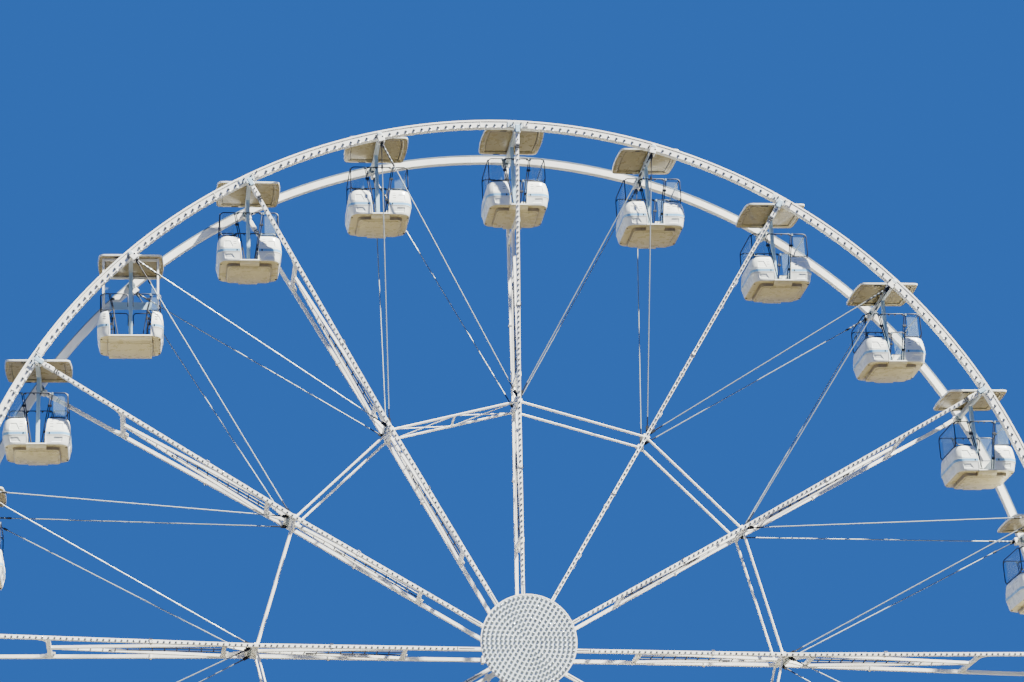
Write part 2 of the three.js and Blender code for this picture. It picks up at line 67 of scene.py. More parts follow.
# The wheel, in metres from the middle of its axle: R is out from the axle, Y along it.
RIM_INNER_R = 14.750
RIM_OUTER_R = 14.970
RIM_Y = 1.137
RIM_HALF = 0.085
RIM_FACE = RIM_Y + RIM_HALF
SPOKE_ROOT_Y = 0.565
SPOKE_KNEE_R = 7.05
SPOKE_TIP_R = 14.6
BEAM_HALF = 0.06
BEAM_SIDE = 0.0425
NODE_R = 7.08
RING_R = 6.925
RING_Y = 0.44
LADDER_APEX_R, LADDER_FOOT_R = 12.17, 7.74  # where the outer braces meet, and where they stand
LOW_LADDER_FOOT_R = 3.08
RUNG_HALF = 0.175
DISC_FACE_Y = 1.496
DISC_R = 1.25
DRUM_Y = 0.66  # the end of the hub's barrel
BAY = math.radians(15)
SPOKE_STEP = math.radians(30)
FIRST, SECOND = PIVOTS["cabin_01"] - AXLE, PIVOTS["cabin_02"] - AXLE
PIVOT_RADII = (FIRST.length, SECOND.length)  # at a spoke, and between two spokes
REST_TURN = math.atan2(FIRST.z, FIRST.x)
WHEEL = Matrix.Translation(AXLE) @ Matrix.Rotation(-REST_TURN, 4, "Y")

# The cabin, in metres from its pivot
TUB_RIM = -1.45
TUB_FLOOR = -2.154
TUB_UNDER = -2.195
SEAT = -1.70
RAIL_TOP = -0.745
RAIL_X, RAIL_Y = 0.79, 0.70
CANOPY_X, CANOPY_Y = 0.885, 0.815
SCREEN_X = 0.742
POST_X, POST_Y = 0.725, 0.625

# The supports, in metres from the ground straight below the axle
DECK = 0.85
RAILING_X, RAILING_Y = 3.11, 2.96
STEP_RUN = 0.268
FOOT_X, FOOT_Y, HEAD_Y = 6.4, 4.2, 1.010

# Finishes of a cabin's shell and of its steelwork, and their places in the lists
SHELL_FINISHES = [
    "moulded_gelcoat", "moulded_gelcoat_stripe", "powder_coat_black", "moulded_gelcoat_under_shade",
    "powder_coat_black", "ribbed_rubber", "moulded_gelcoat_deep_shade",
]
# The fourth and seventh places hold the white gelcoat with painted shade: darker and yellower under the tub,
# darker still under the canopy and on the floor pan's steps. The third place is black painted as the shade
# in grooves and slots; the fifth is the bolts' own black.
GELCOAT, STRIPE, SHADE_LINE, UNDER_SHADE, BOLT, RUBBER, DEEP_SHADE = range(7)
STEEL_FINISHES = [
    "sprayed_steel", "sprayed_steel_dark", "powder_coat_rail", "sprayed_steel_blue", "sprayed_steel_grey",
]
DARK, RAIL, BLUE, GREY = range(1, 5)


# Finishes


def linear(code):
    """The linear colour of an sRGB hex value."""
    shares = [int(code[i:i + 2], 16) / 255 for i in (1, 3, 5)]
    curve = [s / 12.92 if s <= 0.04045 else ((s + 0.055) / 1.055) ** 2.4 for s in shares]
    return (*curve, 1.0)


def add_node(tree, kind, settings=(), values=(), links=()):
    """Adds a node with its settings, its sockets' values and the links into it, each as pairs."""
    node = tree.nodes.new(kind)
    for name, value in settings:
        setattr(node, name, value)
    for socket, value in values:
        node.inputs[socket].default_value = value
    for socket, source in links:
        tree.links.new(source, node.inputs[socket])
    return node


class Finish:
    """A material with one shader, whose patterns read the object's own coordinates."""

    def __init__(self, name, *values):
        material = bpy.data.materials.new(name)
        material.use_nodes = True
        self.tree = material.node_tree
        self.tree.nodes.clear()
        self.shader = self.add("ShaderNodeBsdfPrincipled", values=values)
        self.add("ShaderNodeOutputMaterial", links=[("Surface", self.shader.outputs["BSDF"])])
        self.place = self.add("ShaderNodeTexCoord").outputs["Object"]
        FINISHES[name] = material

    def add(self, kind, **how):
        return add_node(self.tree, kind, **how)

    def drive(self, socket, source):
        """Lets a pattern set one of the shader's values."""
        self.tree.links.new(source, self.shader.inputs[socket])

    def clouds(self, size, ranges=(), detail=4.0, stretch=(1.0, 1.0, 1.0)):
        """Cloudy patches of a size in metres; ranges: low and high taken, low and high made of them."""
        scale = ("Scale", [s / size for s in stretch])
        spread = self.add("ShaderNodeMapping", values=[scale], links=[("Vector", self.place)])
        values = [("Scale", 1.0), ("Detail", detail), ("Roughness", 0.6)]
        made = self.add("ShaderNodeTexNoise", values=values, links=[("Vector", spread.outputs[0])])
        if ranges:
            values, links = enumerate(ranges, 1), [(0, made.outputs[0])]
            made = self.add("ShaderNodeMapRange", values=values, links=links)
        return made.outputs[0]

    def surface(self, colour, stains, height=None, strength=0.0, distance=0.0):
        """Lays each stain, as (where, colour), over what is there, and raises the surface by a height."""
        over = []
        for where, second in stains:
            mix = self.add(
                "ShaderNodeMix", settings=[("data_type", "RGBA")],
                values=[(6, colour), (7, second)], links=[(0, where), *over],
            )
            over = [(6, mix.outputs[2])]
        self.drive("Base Color", mix.outputs[2])
        if height:
            values = [("Strength", strength), ("Distance", distance)]
            bump = self.add("ShaderNodeBump", values=values, links=[("Height", height)])
            self.drive("Normal", bump.outputs[0])


def sprayed_steel(name, colour, dust, roughness):
    """Two-pack polyurethane sprayed on steel: a smooth half-gloss coat, dulled in soft patches by dust."""
    coat = Finish(name, ("Coat Weight", 0.25), ("Coat Roughness", 0.2))
    soft = coat.clouds(0.9, (0.5, 0.74, 0.0, 0.4), 6.0)
    runs = coat.clouds(0.22, (0.56, 0.8, 0.0, 0.3), 3.0, (1.0, 1.0, 0.12))
    coat.drive("Roughness", coat.clouds(0.35, (0.3, 0.7, roughness - 0.07, roughness + 0.1)))
    # Orange peel is about 3 mm across; it is drawn at 20 mm so that it can show.
    coat.surface(colour, [(soft, dust), (runs, dust)], coat.clouds(0.02, detail=2.0), 0.08, 0.002)


def moulded_gelcoat(name, colour, chalk):
    """Gel-coated glass fibre from a mould: a high gloss over faint waves, chalking where rain runs."""
    shell = Finish(name, ("Coat Weight", 0.4), ("Coat Roughness", 0.1))
    chalky = shell.clouds(0.4, (0.5, 0.78, 0.0, 0.45), 5.0, (1.0, 1.0, 0.4))
    shell.drive("Roughness", shell.clouds(0.25, (0.3, 0.75, 0.2, 0.42)))
    # The print of the glass mat comes through as waves about 40 mm long.
    shell.surface(colour, [(chalky, chalk)], shell.clouds(0.04, detail=1.0), 0.06, 0.002)


def galvanised_rod(name, colour, dark):
    """Hot-dip galvanised bar: dull zinc with spangles a few millimetres across."""
    zinc = Finish(name, ("Metallic", 0.4))
    # Spangles are 5 to 15 mm; they are drawn at 30 mm so that they can show.
    links = [("Vector", zinc.place)]
    spangle = zinc.add("ShaderNodeTexVoronoi", values=[("Scale", 1 / 0.03)], links=links)
    values, links = [(1, 0.1), (2, 0.8), (3, 0.0), (4, 0.4)], [(0, spangle.outputs["Distance"])]
    rims = zinc.add("ShaderNodeMapRange", values=values, links=links)
    zinc.surface(colour, [(rims.outputs[0], dark)])
    zinc.drive("Roughness", zinc.clouds(0.2, (0.3, 0.7, 0.38, 0.58)))


def powder_coat(name, colour, light):
    """Polyester powder baked on tube: an even satin with a fine pebbled skin."""
    coat = Finish(name)
    worn = coat.clouds(0.3, (0.45, 0.8, 0.0, 0.5))
    coat.drive("Roughness", coat.clouds(0.15, (0.3, 0.7, 0.38, 0.52)))
    # The pebbling is about 1 mm; it is drawn at 8 mm so that it can show.
    coat.surface(colour, [(worn, light)], coat.clouds(0.008, detail=1.0), 0.15, 0.001)


def lamp_dome(name, colour, light):
    """A clear polycarbonate cap over a reflector: reads as smoky grey with a sharp glint."""
    dome = Finish(name, ("Coat Weight", 1.0), ("Coat Roughness", 0.04), ("IOR", 1.58))
    # The reflector's facets are 16 mm across; their glints are painted into the colour as lighter patches.
    links = [("Vector", dome.place)]
    facets = dome.add("ShaderNodeTexVoronoi", values=[("Scale", 1 / 0.016)], links=links)
    values, links = [(1, 0.1), (2, 0.7), (3, 0.0), (4, 1.0)], [(0, facets.outputs["Distance"])]
    painted_glints = dome.add("ShaderNodeMapRange", values=values, links=links)
    dome.surface(colour, [(painted_glints.outputs[0], light)])
    dome.drive("Roughness", dome.clouds(0.05, (0.3, 0.7, 0.12, 0.25)))


def acrylic_sheet(name, tint, roughness):
    """Cast acrylic sheet: nearly clear, faintly blue, with wiping marks and dust in its gloss."""
    sheet = Finish(name, ("Base Color", tint), ("IOR", 1.49))
    sheet.drive("Roughness", sheet.clouds(0.3, (0.4, 0.8, 0.0, roughness), 5.0, (1.0, 1.0, 0.3)))
    sheet.drive("Alpha", sheet.clouds(0.45, (0.35, 0.85, 0.11, 0.08)))


def chequer_plate(name, colour, dark):
    """Rolled aluminium tread plate: bright raised bars, crossed in turn, over a scuffed ground."""
    plate = Finish(name, ("Metallic", 0.85))
    # The bars are 30 mm apart; they are drawn 60 mm apart so that they can show.
    values = [("Rotation", (0.0, 0.0, math.radians(45))), ("Scale", (1 / 0.06,) * 3)]
    askew = plate.add("ShaderNodeMapping", values=values, links=[("Vector", plate.place)])
    values = [("Scale", 1.0), ("Mortar Size", 0.16), ("Brick Width", 0.9), ("Row Height", 0.34)]
    links = [("Vector", askew.outputs[0])]
    bars = plate.add("ShaderNodeTexBrick", settings=[("offset", 0.5)], values=values, links=links)
    scuffs = plate.clouds(0.25, (0.42, 0.75, 0.0, 0.8), 6.0)
    plate.surface(colour, [(scuffs, dark)], bars.outputs["Fac"], 0.5, 0.003)
    values = [(1, 0.0), (2, 1.0), (3, 0.35), (4, 0.65)]
    dulled = plate.add("ShaderNodeMapRange", values=values, links=[(0, scuffs)])
    plate.drive("Roughness", dulled.outputs[0])


def ribbed_rubber(name, colour, light):
    """Moulded rubber: dull black, ribbed every 20 mm, greyed by dust."""
    rubber = Finish(name)
    greyed = rubber.clouds(0.2, (0.45, 0.8, 0.0, 0.6), 5.0)
    settings, values = [("bands_direction", "X")], [("Scale", 0.314 / 0.02)]
    links = [("Vector", rubber.place)]
    ribs = rubber.add("ShaderNodeTexWave", settings=settings, values=values, links=links)
    rubber.surface(colour, [(greyed, light)], ribs.outputs["Fac"], 0.4, 0.003)
    values = [(1, 0.0), (2, 0.6), (3, 0.62), (4, 0.85)]
    dulled = rubber.add("ShaderNodeMapRange", values=values, links=[(0, greyed)])
    rubber.drive("Roughness", dulled.outputs[0])


def studio_floor(name, colour, shade):
    """A matt painted studio floor: even, with faint broad clouds."""
    floor = Finish(name, ("Roughness", 0.85))
    floor.surface(colour, [(floor.clouds(9.0, (0.35, 0.7, 0.0, 0.35), 3.0), shade)])


# Meshes


def everything(bm):
    return bm.verts[:] + bm.edges[:] + bm.faces[:]


def moved_verts(made):
    return [part for part in made if isinstance(part, bmesh.types.BMVert)]


def paint(verts, finish):
    """Gives every face round some vertices one finish."""
    for face in {f for v in verts for f in v.link_faces}:
        face.material_index = finish


def eased(bm, geom, offset, affect, segments):
    """Bevels edges or corners."""
    return bmesh.ops.bevel(
        bm, geom=geom, offset=offset, offset_type="OFFSET", affect=affect, segments=segments,
        profile=0.5, material=-1,
    )


def block(bm, low, high, edge=0.0, place=None, finish=0):
    """A block between two opposite corners, with its edges eased."""
    size = [abs(b - a) for a, b in zip(low, high)]
    verts = bmesh.ops.create_cube(bm, size=1.0)["verts"]
    bmesh.ops.scale(bm, vec=size, verts=verts)
    bmesh.ops.translate(bm, vec=(Vector(low) + Vector(high)) / 2, verts=verts)
    if place:
        bmesh.ops.transform(bm, matrix=place, verts=verts)
    paint(verts, finish)
    if edge:
        eased(bm, list({e for v in verts for e in v.link_edges}), edge, "EDGES", 1)


def rod(bm, start, end, radius, sides=8, finish=0):
    """A straight round bar with closed ends."""
    start, end = Vector(start), Vector(end)
    turn = Vector((0, 0, 1)).rotation_difference(end - start).to_matrix().to_4x4()
    made = bmesh.ops.create_cone(
        bm, cap_ends=True, segments=sides, radius1=radius, radius2=radius, depth=(end - start).length,
        matrix=Matrix.Translation((start + end) / 2) @ turn,
    )
    paint(made["verts"], finish)


def bolt(bm, at, out, radius, finish):
    """A six-sided bolt head that stands out along Y."""
    rod(bm, at, at + Vector((0, out, 0)), radius, 6, finish)


def bar(bm, start, end, width, depth, across, finish=0):
    """A rectangular bar; its width lies along `across`."""
    start, end, side = Vector(start), Vector(end), Vector(across)
    along = (end - start).normalized()
    side = (side - along * side.dot(along)).normalized()
    up = along.cross(side)
    place = Matrix((side, up, along)).transposed().to_4x4()
    place.translation = (start + end) / 2
    made = bmesh.ops.create_cube(bm, size=1.0)["verts"]
    bmesh.ops.scale(bm, vec=(width, depth, (end - start).length), verts=made)
    bmesh.ops.transform(bm, matrix=place, verts=made)
    paint(made, finish)


def grown(bm, edges):
    """Extrudes a ring of edges in place: its new vertices and edges."""
    made = bmesh.ops.extrude_edge_only(bm, edges=edges)["geom"]
    verts = moved_verts(made)
    ring = set(verts)
    return verts, [g for g in made if isinstance(g, bmesh.types.BMEdge) and set(g.verts) <= ring]


def bent_rod(bm, points, radius, sides=6, finish=0):
    """A round bar led through a line of points, square across each bend."""
    points = [Vector(p) for p in points]
    facing = (points[1] - points[0]).normalized()
    turn = Vector((0, 0, 1)).rotation_difference(facing).to_matrix().to_4x4()
    verts = bmesh.ops.create_circle(bm, cap_ends=True, segments=sides, radius=radius)["verts"]
    bmesh.ops.transform(bm, matrix=Matrix.Translation(points[0]) @ turn, verts=verts)
    edges = list({e for v in verts for e in v.link_edges})
    faces = {f for v in verts for f in v.link_faces}
    for before, here, after in zip(points, points[1:], points[2:] + points[-1:]):
        heading = ((after - here).normalized() + (here - before).normalized()).normalized()
        swing = facing.rotation_difference(heading).to_matrix().to_4x4()
        verts, edges = grown(bm, edges)
        move = Matrix.Translation(here) @ swing @ Matrix.Translation(-before)
        bmesh.ops.transform(bm, matrix=move, verts=verts)
        faces |= {f for v in verts for f in v.link_faces}
        facing = heading
    faces |= set(bmesh.ops.edgeloop_fill(bm, edges=edges)["faces"])
    for face in faces:
        face.material_index = finish


def prism(points, way):
    """A flat outline pushed along a way, as a mesh of its own."""
    bm = bmesh.new()
    face = bm.faces.new([bm.verts.new(point) for point in points])
    made = bmesh.ops.extrude_face_region(bm, geom=[face])["geom"]
    bmesh.ops.translate(bm, vec=way, verts=moved_verts(made))
    bmesh.ops.recalc_face_normals(bm, faces=bm.faces[:])
    return bm


def cut(bm, place, way):
    """Cuts every face along a plane and keeps both sides."""
    bmesh.ops.bisect_plane(bm, geom=everything(bm), plane_co=place, plane_no=way)


def absorb(bm, part):
    """Adds one mesh under construction to another."""
    mesh = bpy.data.meshes.new("part")
    part.to_mesh(mesh)
    part.free()
    bm.from_mesh(mesh)
    bpy.data.meshes.remove(mesh)


def spun(bm, geom, cent, axis, steps):
    """Spins a profile once round an axis and closes it on itself."""
    bmesh.ops.spin(
        bm, geom=geom, cent=cent, axis=axis, angle=math.tau, steps=steps, use_merge=True
    )


def turned(profile, sides, place=None, finish=0):
    """A profile of (radius, height) spun round Z, as a mesh of its own."""
    bm = bmesh.new()
    verts = [bm.verts.new((radius, 0.0, height)) for radius, height in profile]
    edges = [bm.edges.new(pair) for pair in zip(verts, verts[1:])]
    spun(bm, verts + edges, (0, 0, 0), (0, 0, 1), sides)
    bmesh.ops.remove_doubles(bm, verts=bm.verts[:], dist=1e-5)
    for face in bm.faces:
        face.material_index = finish
    if place:
        bmesh.ops.transform(bm, matrix=place, verts=bm.verts[:])
    return bm


def round_wheel(bm, copies, step):
    """Copies all of the mesh round the axle, each copy a step on from the one before."""
    bmesh.ops.spin(
        bm, geom=everything(bm), cent=AXLE, axis=(0, -1, 0), angle=copies * step, steps=copies,
        use_duplicate=True,
    )


def at_each_spoke(bm, part):
    """Adds a mesh to another, once for each of the twelve spokes."""
    round_wheel(part, 11, SPOKE_STEP)
    absorb(bm, part)


def in_line(bm, copies, step):
    """Copies all of the mesh along a straight line."""
    bmesh.ops.spin(
        bm, geom=everything(bm), cent=(0, 0, 0), axis=(0, 0, 1), dvec=step, angle=0.0, steps=copies,
        use_duplicate=True,
    )


def front_and_rear(bm):
    """Mirrors all of the mesh to the other side of the wheel."""
    bmesh.ops.mirror(bm, geom=everything(bm), matrix=Matrix(), merge_dist=1e-6, axis="Y")


def lofted(levels, corner, steps=4):
    """A closed body with a rounded rectangular plan, from levels of (half x, half y, height)."""
    bm = bmesh.new()
    half_x, half_y, height = levels[0]
    verts = bmesh.ops.create_grid(bm, x_segments=1, y_segments=1, size=1.0)["verts"]
    bmesh.ops.scale(bm, vec=(half_x, half_y, 1.0), verts=verts)
    bmesh.ops.translate(bm, vec=(0, 0, height), verts=verts)
    face = eased(bm, verts, corner, "VERTICES", steps)["verts"][0].link_faces[0]
    first = edges = list(face.edges)
    bmesh.ops.delete(bm, geom=[face], context="FACES_ONLY")
    for below, level in zip(levels, levels[1:]):
        verts, edges = grown(bm, edges)
        grow = level[0] / below[0], level[1] / below[1], 1.0
        bmesh.ops.scale(bm, vec=grow, verts=verts)
        bmesh.ops.translate(bm, vec=(0, 0, level[2] - below[2]), verts=verts)
    bmesh.ops.edgeloop_fill(bm, edges=first)
    bmesh.ops.edgeloop_fill(bm, edges=edges)
    bmesh.ops.recalc_face_normals(bm, faces=bm.faces[:])
    return bm


def on_wheel(radius, y, angle=0.0, aside=0.0):
    """A point at a radius and an angle on the wheel, or a way aside from it."""
    return WHEEL @ Matrix.Rotation(-angle, 4, "Y") @ Vector((radius, y, aside))


def turned_wheel(angle):
    """The wheel's own axes, turned on by an angle."""
    return WHEEL @ Matrix.Rotation(-angle, 4, "Y")


def facing_out(point, side):
    """Turns what stands on Z to face the front (side -1) or the rear (side 1) at a point."""
    return Matrix.Translation(point) @ Matrix.Rotation(math.radians(-90 * side), 4, "X")


def beam_y(radius):
    """How far the middle of a spoke's beam lies from the wheel's middle plane."""
    slope = (RIM_Y - SPOKE_ROOT_Y) / (SPOKE_TIP_R - SPOKE_KNEE_R)
    return SPOKE_ROOT_Y + max(0.0, radius - SPOKE_KNEE_R) * slope


def as_mesh(name, bm):
    """Ends the construction of a mesh, with its faces turned outwards."""
    bmesh.ops.recalc_face_normals(bm, faces=bm.faces[:])
    mesh = bpy.data.meshes.new(name)
    bm.to_mesh(mesh)
    bm.free()
    return mesh


def linked(name, mesh):
    """Puts a mesh in the scene as an object."""
    made = bpy.data.objects.new(name, mesh)
    bpy.context.scene.collection.objects.link(made)
    return made


def placed(name, mesh, finishes, body, stands_for=(), crease=30.0):
    """Makes the piece of a mesh, with its finishes, its body and the CAD nodes that it stands for."""
    if not mesh.polygons:
        raise RuntimeError(f"{name} has no faces")
    for finish in finishes:
        mesh.materials.append(FINISHES[finish])
    mesh.shade_smooth()
    mesh.set_sharp_from_angle(angle=math.radians(crease))
    piece = linked(name, mesh)
    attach(piece, body)
    if stands_for:
        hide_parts(*stands_for)


def finished(name, bm, finishes, body, stands_for=(), crease=30.0):
    """Makes the piece of a mesh under construction."""
    placed(name, as_mesh(name, bm), finishes, body, stands_for, crease)


# What a user would change


def length(name, description, default):
    return FloatProperty(name=name, description=description, default=default, unit="LENGTH")


def count(name, description, default, low, high):
    return IntProperty(name=name, description=description, default=default, min=low, max=high)


def tint(name, description, code):
    return FloatVectorProperty(
        name=name, description=description, subtype="COLOR", size=4, min=0.0, max=1.0,
        default=linear(code),
    )


class WheelSizes(bpy.types.PropertyGroup):
    lamps_per_bay: count(
        "Lamps per bay", "Lamps in a row of the rim between two cabins, the joint's gap counted", 17, 4, 30
    )
    rim_lamp: length("Rim lamp", "Diameter of a lamp on the rims", 0.078)
    disc_lamp: length("Disc lamp", "Diameter of a lamp on the hub disc", 0.084)
    spoke_lamp: length("Spoke lamp", "Diameter of a lamp on the spokes", 0.058)
    spoke_lamp_pitch: length("Spoke lamp spacing", "Distance between two lamps on a spoke", 0.1517)
    disc_lamp_pitch: length("Disc lamp spacing", "Distance between two rings of lamps", 0.1175)
    disc_rings: count("Disc lamp rings", "Rings of lamps on the hub disc", 10, 1, 14)
    rung_pitch: length("Rung spacing", "Distance between two rungs of a spoke's ladder", 0.313)
    stay: length("Stay", "Diameter of the rods that stay the rims", 0.029)
    rail: length("Cabin rail", "Diameter of the bent rails round a cabin", 0.031)


class WheelColours(bpy.types.PropertyGroup):
    paint: tint("Paint", "The steelwork's sprayed paint", "#EDEBE2")
    gelcoat: tint("Gelcoat", "The cabins' moulded shells", "#EFF1E7")
    stripe: tint("Stripe", "The band round each tub", "#84B6DA")
    rails: tint("Rails", "The powder-coated cabin rails and ladders", "#10131C")
    disc: tint("Hub disc", "The paint of the lamp disc", "#D5DCDE")
    backdrop: tint("Backdrop", "The studio's backdrop and soft light", "#346CC8")


# The pieces


class WHEEL_OT_finishes(bpy.types.Operator):
    """Make the finishes and give the carried-over solids theirs"""

    bl_idname = "wheel.finishes"
    bl_label = "Finishes"

    def execute(self, context):
        chosen = context.scene.wheel_colours
        steel = tuple(chosen.paint)
        sprayed_steel("sprayed_steel", steel, linear("#C9BFA6"), 0.34)
        sprayed_steel("sprayed_steel_frame", steel, linear("#BDB29A"), 0.4)
        sprayed_steel("sprayed_steel_grey", linear("#B9C2C6"), linear("#9A9A90"), 0.38)
        sprayed_steel("sprayed_steel_dark", linear("#6F7D86"), linear("#6A6C66"), 0.38)
        sprayed_steel("sprayed_steel_disc", tuple(chosen.disc), linear("#BFC3BE"), 0.4)
        sprayed_steel("sprayed_steel_blue", linear("#A3C0D2"), linear("#8F9DA2"), 0.36)
        moulded_gelcoat("moulded_gelcoat", tuple(chosen.gelcoat), linear("#D8D3C4"))
        moulded_gelcoat("moulded_gelcoat_stripe", tuple(chosen.stripe), linear("#7FAAC8"))
        # These two gelcoats are painted shade: the white gelcoat made darker and yellower for the shade and
        # warm bounce under the tub, and darker still for the deeper shade under the canopy and on the floor
        # pan's steps.
        moulded_gelcoat("moulded_gelcoat_under_shade", linear("#C2B488"), linear("#CFC39C"))
        moulded_gelcoat("moulded_gelcoat_deep_shade", linear("#8F815B"), linear("#9D9070"))
        galvanised_rod("galvanised_rod", linear("#8F989C"), linear("#767F83"))
        powder_coat("powder_coat_rail", tuple(chosen.rails), linear("#252C3B"))
        powder_coat("powder_coat_black", linear("#0F1012"), linear("#202226"))
        lamp_dome("polycarbonate_lamp", linear("#565B5E"), linear("#8D9294"))
        lamp_dome("polycarbonate_lamp_clear", linear("#6D7779"), linear("#A5AEAF"))
        acrylic_sheet("acrylic_sheet", linear("#9FBCD0"), 0.2)
        chequer_plate("aluminium_chequer_plate", linear("#B4B7B8"), linear("#6E7072"))
        ribbed_rubber("ribbed_rubber", linear("#242526"), linear("#58584F"))
        studio_floor("matt_studio_floor", linear("#433C28"), linear("#3C3522"))
        kinds = {
            "sprayed_steel": ("hub_drum", "spoke_"),
            "sprayed_steel_disc": ("front_disc", "rear_disc"),
            "sprayed_steel_frame": ("front_a_frame", "rear_a_frame", "base_frame"),
            "aluminium_chequer_plate": ("boarding_deck", "front_steps", "rear_steps"),
        }
        for name, node in frame["nodes"].items():
            finish = next((k for k, starts in kinds.items() if name.startswith(starts)), None)
            node.data.materials.clear()
            node.data.materials.append(FINISHES[finish or "sprayed_steel"])
        return {"FINISHED"}


class WHEEL_OT_rims(bpy.types.Operator):
    """Build the two rims: a box ring with a proud outer strip and a groove on its outward face, and a dark
    strip on its inward face painted as the shade along its outer edge
    """

    bl_idname = "wheel.rims"
    bl_label = "Rims"

    # Sections as (radius, distance from the middle plane or from the inward face)
    box = (
        (RIM_INNER_R, RIM_Y - RIM_HALF), (RIM_OUTER_R, RIM_Y - RIM_HALF), (RIM_OUTER_R, RIM_FACE + 0.012),
        (14.930, RIM_FACE + 0.012), (14.926, RIM_FACE - 0.018), (14.896, RIM_FACE - 0.018),
        (14.892, RIM_FACE), (RIM_INNER_R, RIM_FACE),
    )
    # The dark strip on each rim's inward face is painted shade along the rim's outer edge.
    strip = ((14.942, 0.0), (14.968, 0.0), (14.968, 0.008), (14.942, 0.008), (14.942, 0.0))
    sides = 240

    def execute(self, context):
        for name, side in zip(("front", "rear"), SIDES):
            bm = bmesh.new()
            verts = [bm.verts.new(on_wheel(radius, side * y)) for radius, y in self.box]
            edges = [bm.edges.new((a, b)) for a, b in zip(verts, verts[1:] + verts[:1])]
            spun(bm, verts + edges, AXLE, (0, -1, 0), self.sides)
            inward = facing_out(on_wheel(0.0, side * (RIM_Y - RIM_HALF)), -side)
            # Painted shade: a dark strip along the outer edge of the inward face.
            absorb(bm, turned(self.strip, self.sides, inward, DARK))
            ring = f"{name}_rim"
            finished(f"{ring}_ring", bm, STEEL_FINISHES[:2], "wheel", [ring])
        return {"FINISHED"}


class WHEEL_OT_rim_joints(bpy.types.Operator):
    """Build the joint plates, knuckles and bearing blocks where spokes and cabins meet the rims"""

    bl_idname = "wheel.rim_joints"
    bl_label = "Rim joints"

    finishes = ["sprayed_steel", "sprayed_steel_grey", "powder_coat_black", "sprayed_steel_blue"]
    grey, black, blue = 1, 2, 3
    seam = math.radians(4.0)

    def bearing(self, bm, angle, pivot):
        """The bearing block under the rim, with its grease cap and bolts."""
        place = turned_wheel(angle)
        face = -RIM_Y - 0.072
        block(bm, (14.62, face, -0.09), (14.76, -RIM_Y + 0.072, 0.09), 0.012, place)
        cap = [(0.0, 0.0), (0.075, 0.0), (0.075, 0.022), (0.05, 0.04), (0.0, 0.044)]
        absorb(bm, turned(cap, 12, facing_out(on_wheel(pivot, -RIM_FACE, angle), -1), self.grey))
        for z in (-0.065, 0.065):
            bolt(bm, place @ Vector((14.65, face, z)), -0.022, 0.016, self.black)

    def spoke_joint(self, bm):
        """The grey plate, the blue-grey knuckle and the white stub at the outer end of a spoke."""
        face = -RIM_FACE
        low, high = face - 0.055, face - 0.02
        block(bm, (14.745, face - 0.03, -0.147), (14.912, face, 0.284), 0.012, WHEEL, self.grey)
        block(bm, (14.775, face - 0.025, -0.315), (14.916, face, -0.155), 0.02, WHEEL)
        block(bm, (14.70, low, 0.075), (14.80, high, 0.115), 0.008, WHEEL, self.grey)
        block(bm, (14.70, low, -0.115), (14.80, high, -0.075), 0.008, WHEEL, self.grey)
        block(bm, (14.60, face - 0.05, -0.062), (14.84, face - 0.012, 0.062), 0.018, WHEEL, self.blue)
        for radius, z in ((14.905, -0.285), (14.87, 0.12), (14.87, -0.10), (14.79, 0.20)):
            bolt(bm, WHEEL @ Vector((radius, face - 0.02, z)), -0.04, 0.024, self.black)
        y = beam_y(14.3)
        block(bm, (14.27, -y - 0.085, -0.055), (14.57, -y + 0.072, 0.055), 0.01, WHEEL)
        for radius in (14.175, 14.235):
            low, high = (radius - 0.018, -y - 0.08, -0.05), (radius + 0.018, -y + 0.07, 0.05)
            block(bm, low, high, 0.006, WHEEL, self.black)
        for radius in (14.40, 14.51):
            bolt(bm, WHEEL @ Vector((radius, -y - 0.085, 0.0)), -0.03, 0.021, self.black)

    def stay_joint(self, bm):
        """The white clevis block on the rim's face between two spokes, with its dark bolts."""
        face = -RIM_FACE
        place = turned_wheel(BAY)
        block(bm, (14.64, face - 0.045, -0.10), (14.815, face, 0.085), 0.014, place)
        block(bm, (14.60, face - 0.03, -0.03), (14.66, face + 0.06, 0.03), 0.008, place, self.black)
        for radius, z in ((14.79, 0.13), (14.83, 0.115), (14.77, -0.06)):
            bolt(bm, place @ Vector((radius, face, z)), -0.05, 0.026, self.black)

    def rim_seam(self, bm):
        """The thin flange where two lengths of rim are bolted together."""
        low = RIM_INNER_R - 0.008, -RIM_Y - 0.095, -0.012
        high = RIM_OUTER_R + 0.002, -RIM_Y + 0.09, 0.012
        block(bm, low, high, 0.004, turned_wheel(self.seam))

    def execute(self, context):
        bm = bmesh.new()
        for angle, pivot in zip((0.0, BAY), PIVOT_RADII):
            self.bearing(bm, angle, pivot)
        round_wheel(bm, 11, SPOKE_STEP)
        for make in (self.spoke_joint, self.stay_joint, self.rim_seam):
            part = bmesh.new()
            make(part)
            at_each_spoke(bm, part)
        front_and_rear(bm)
        finished("rim_joints", bm, self.finishes, "wheel")
        return {"FINISHED"}


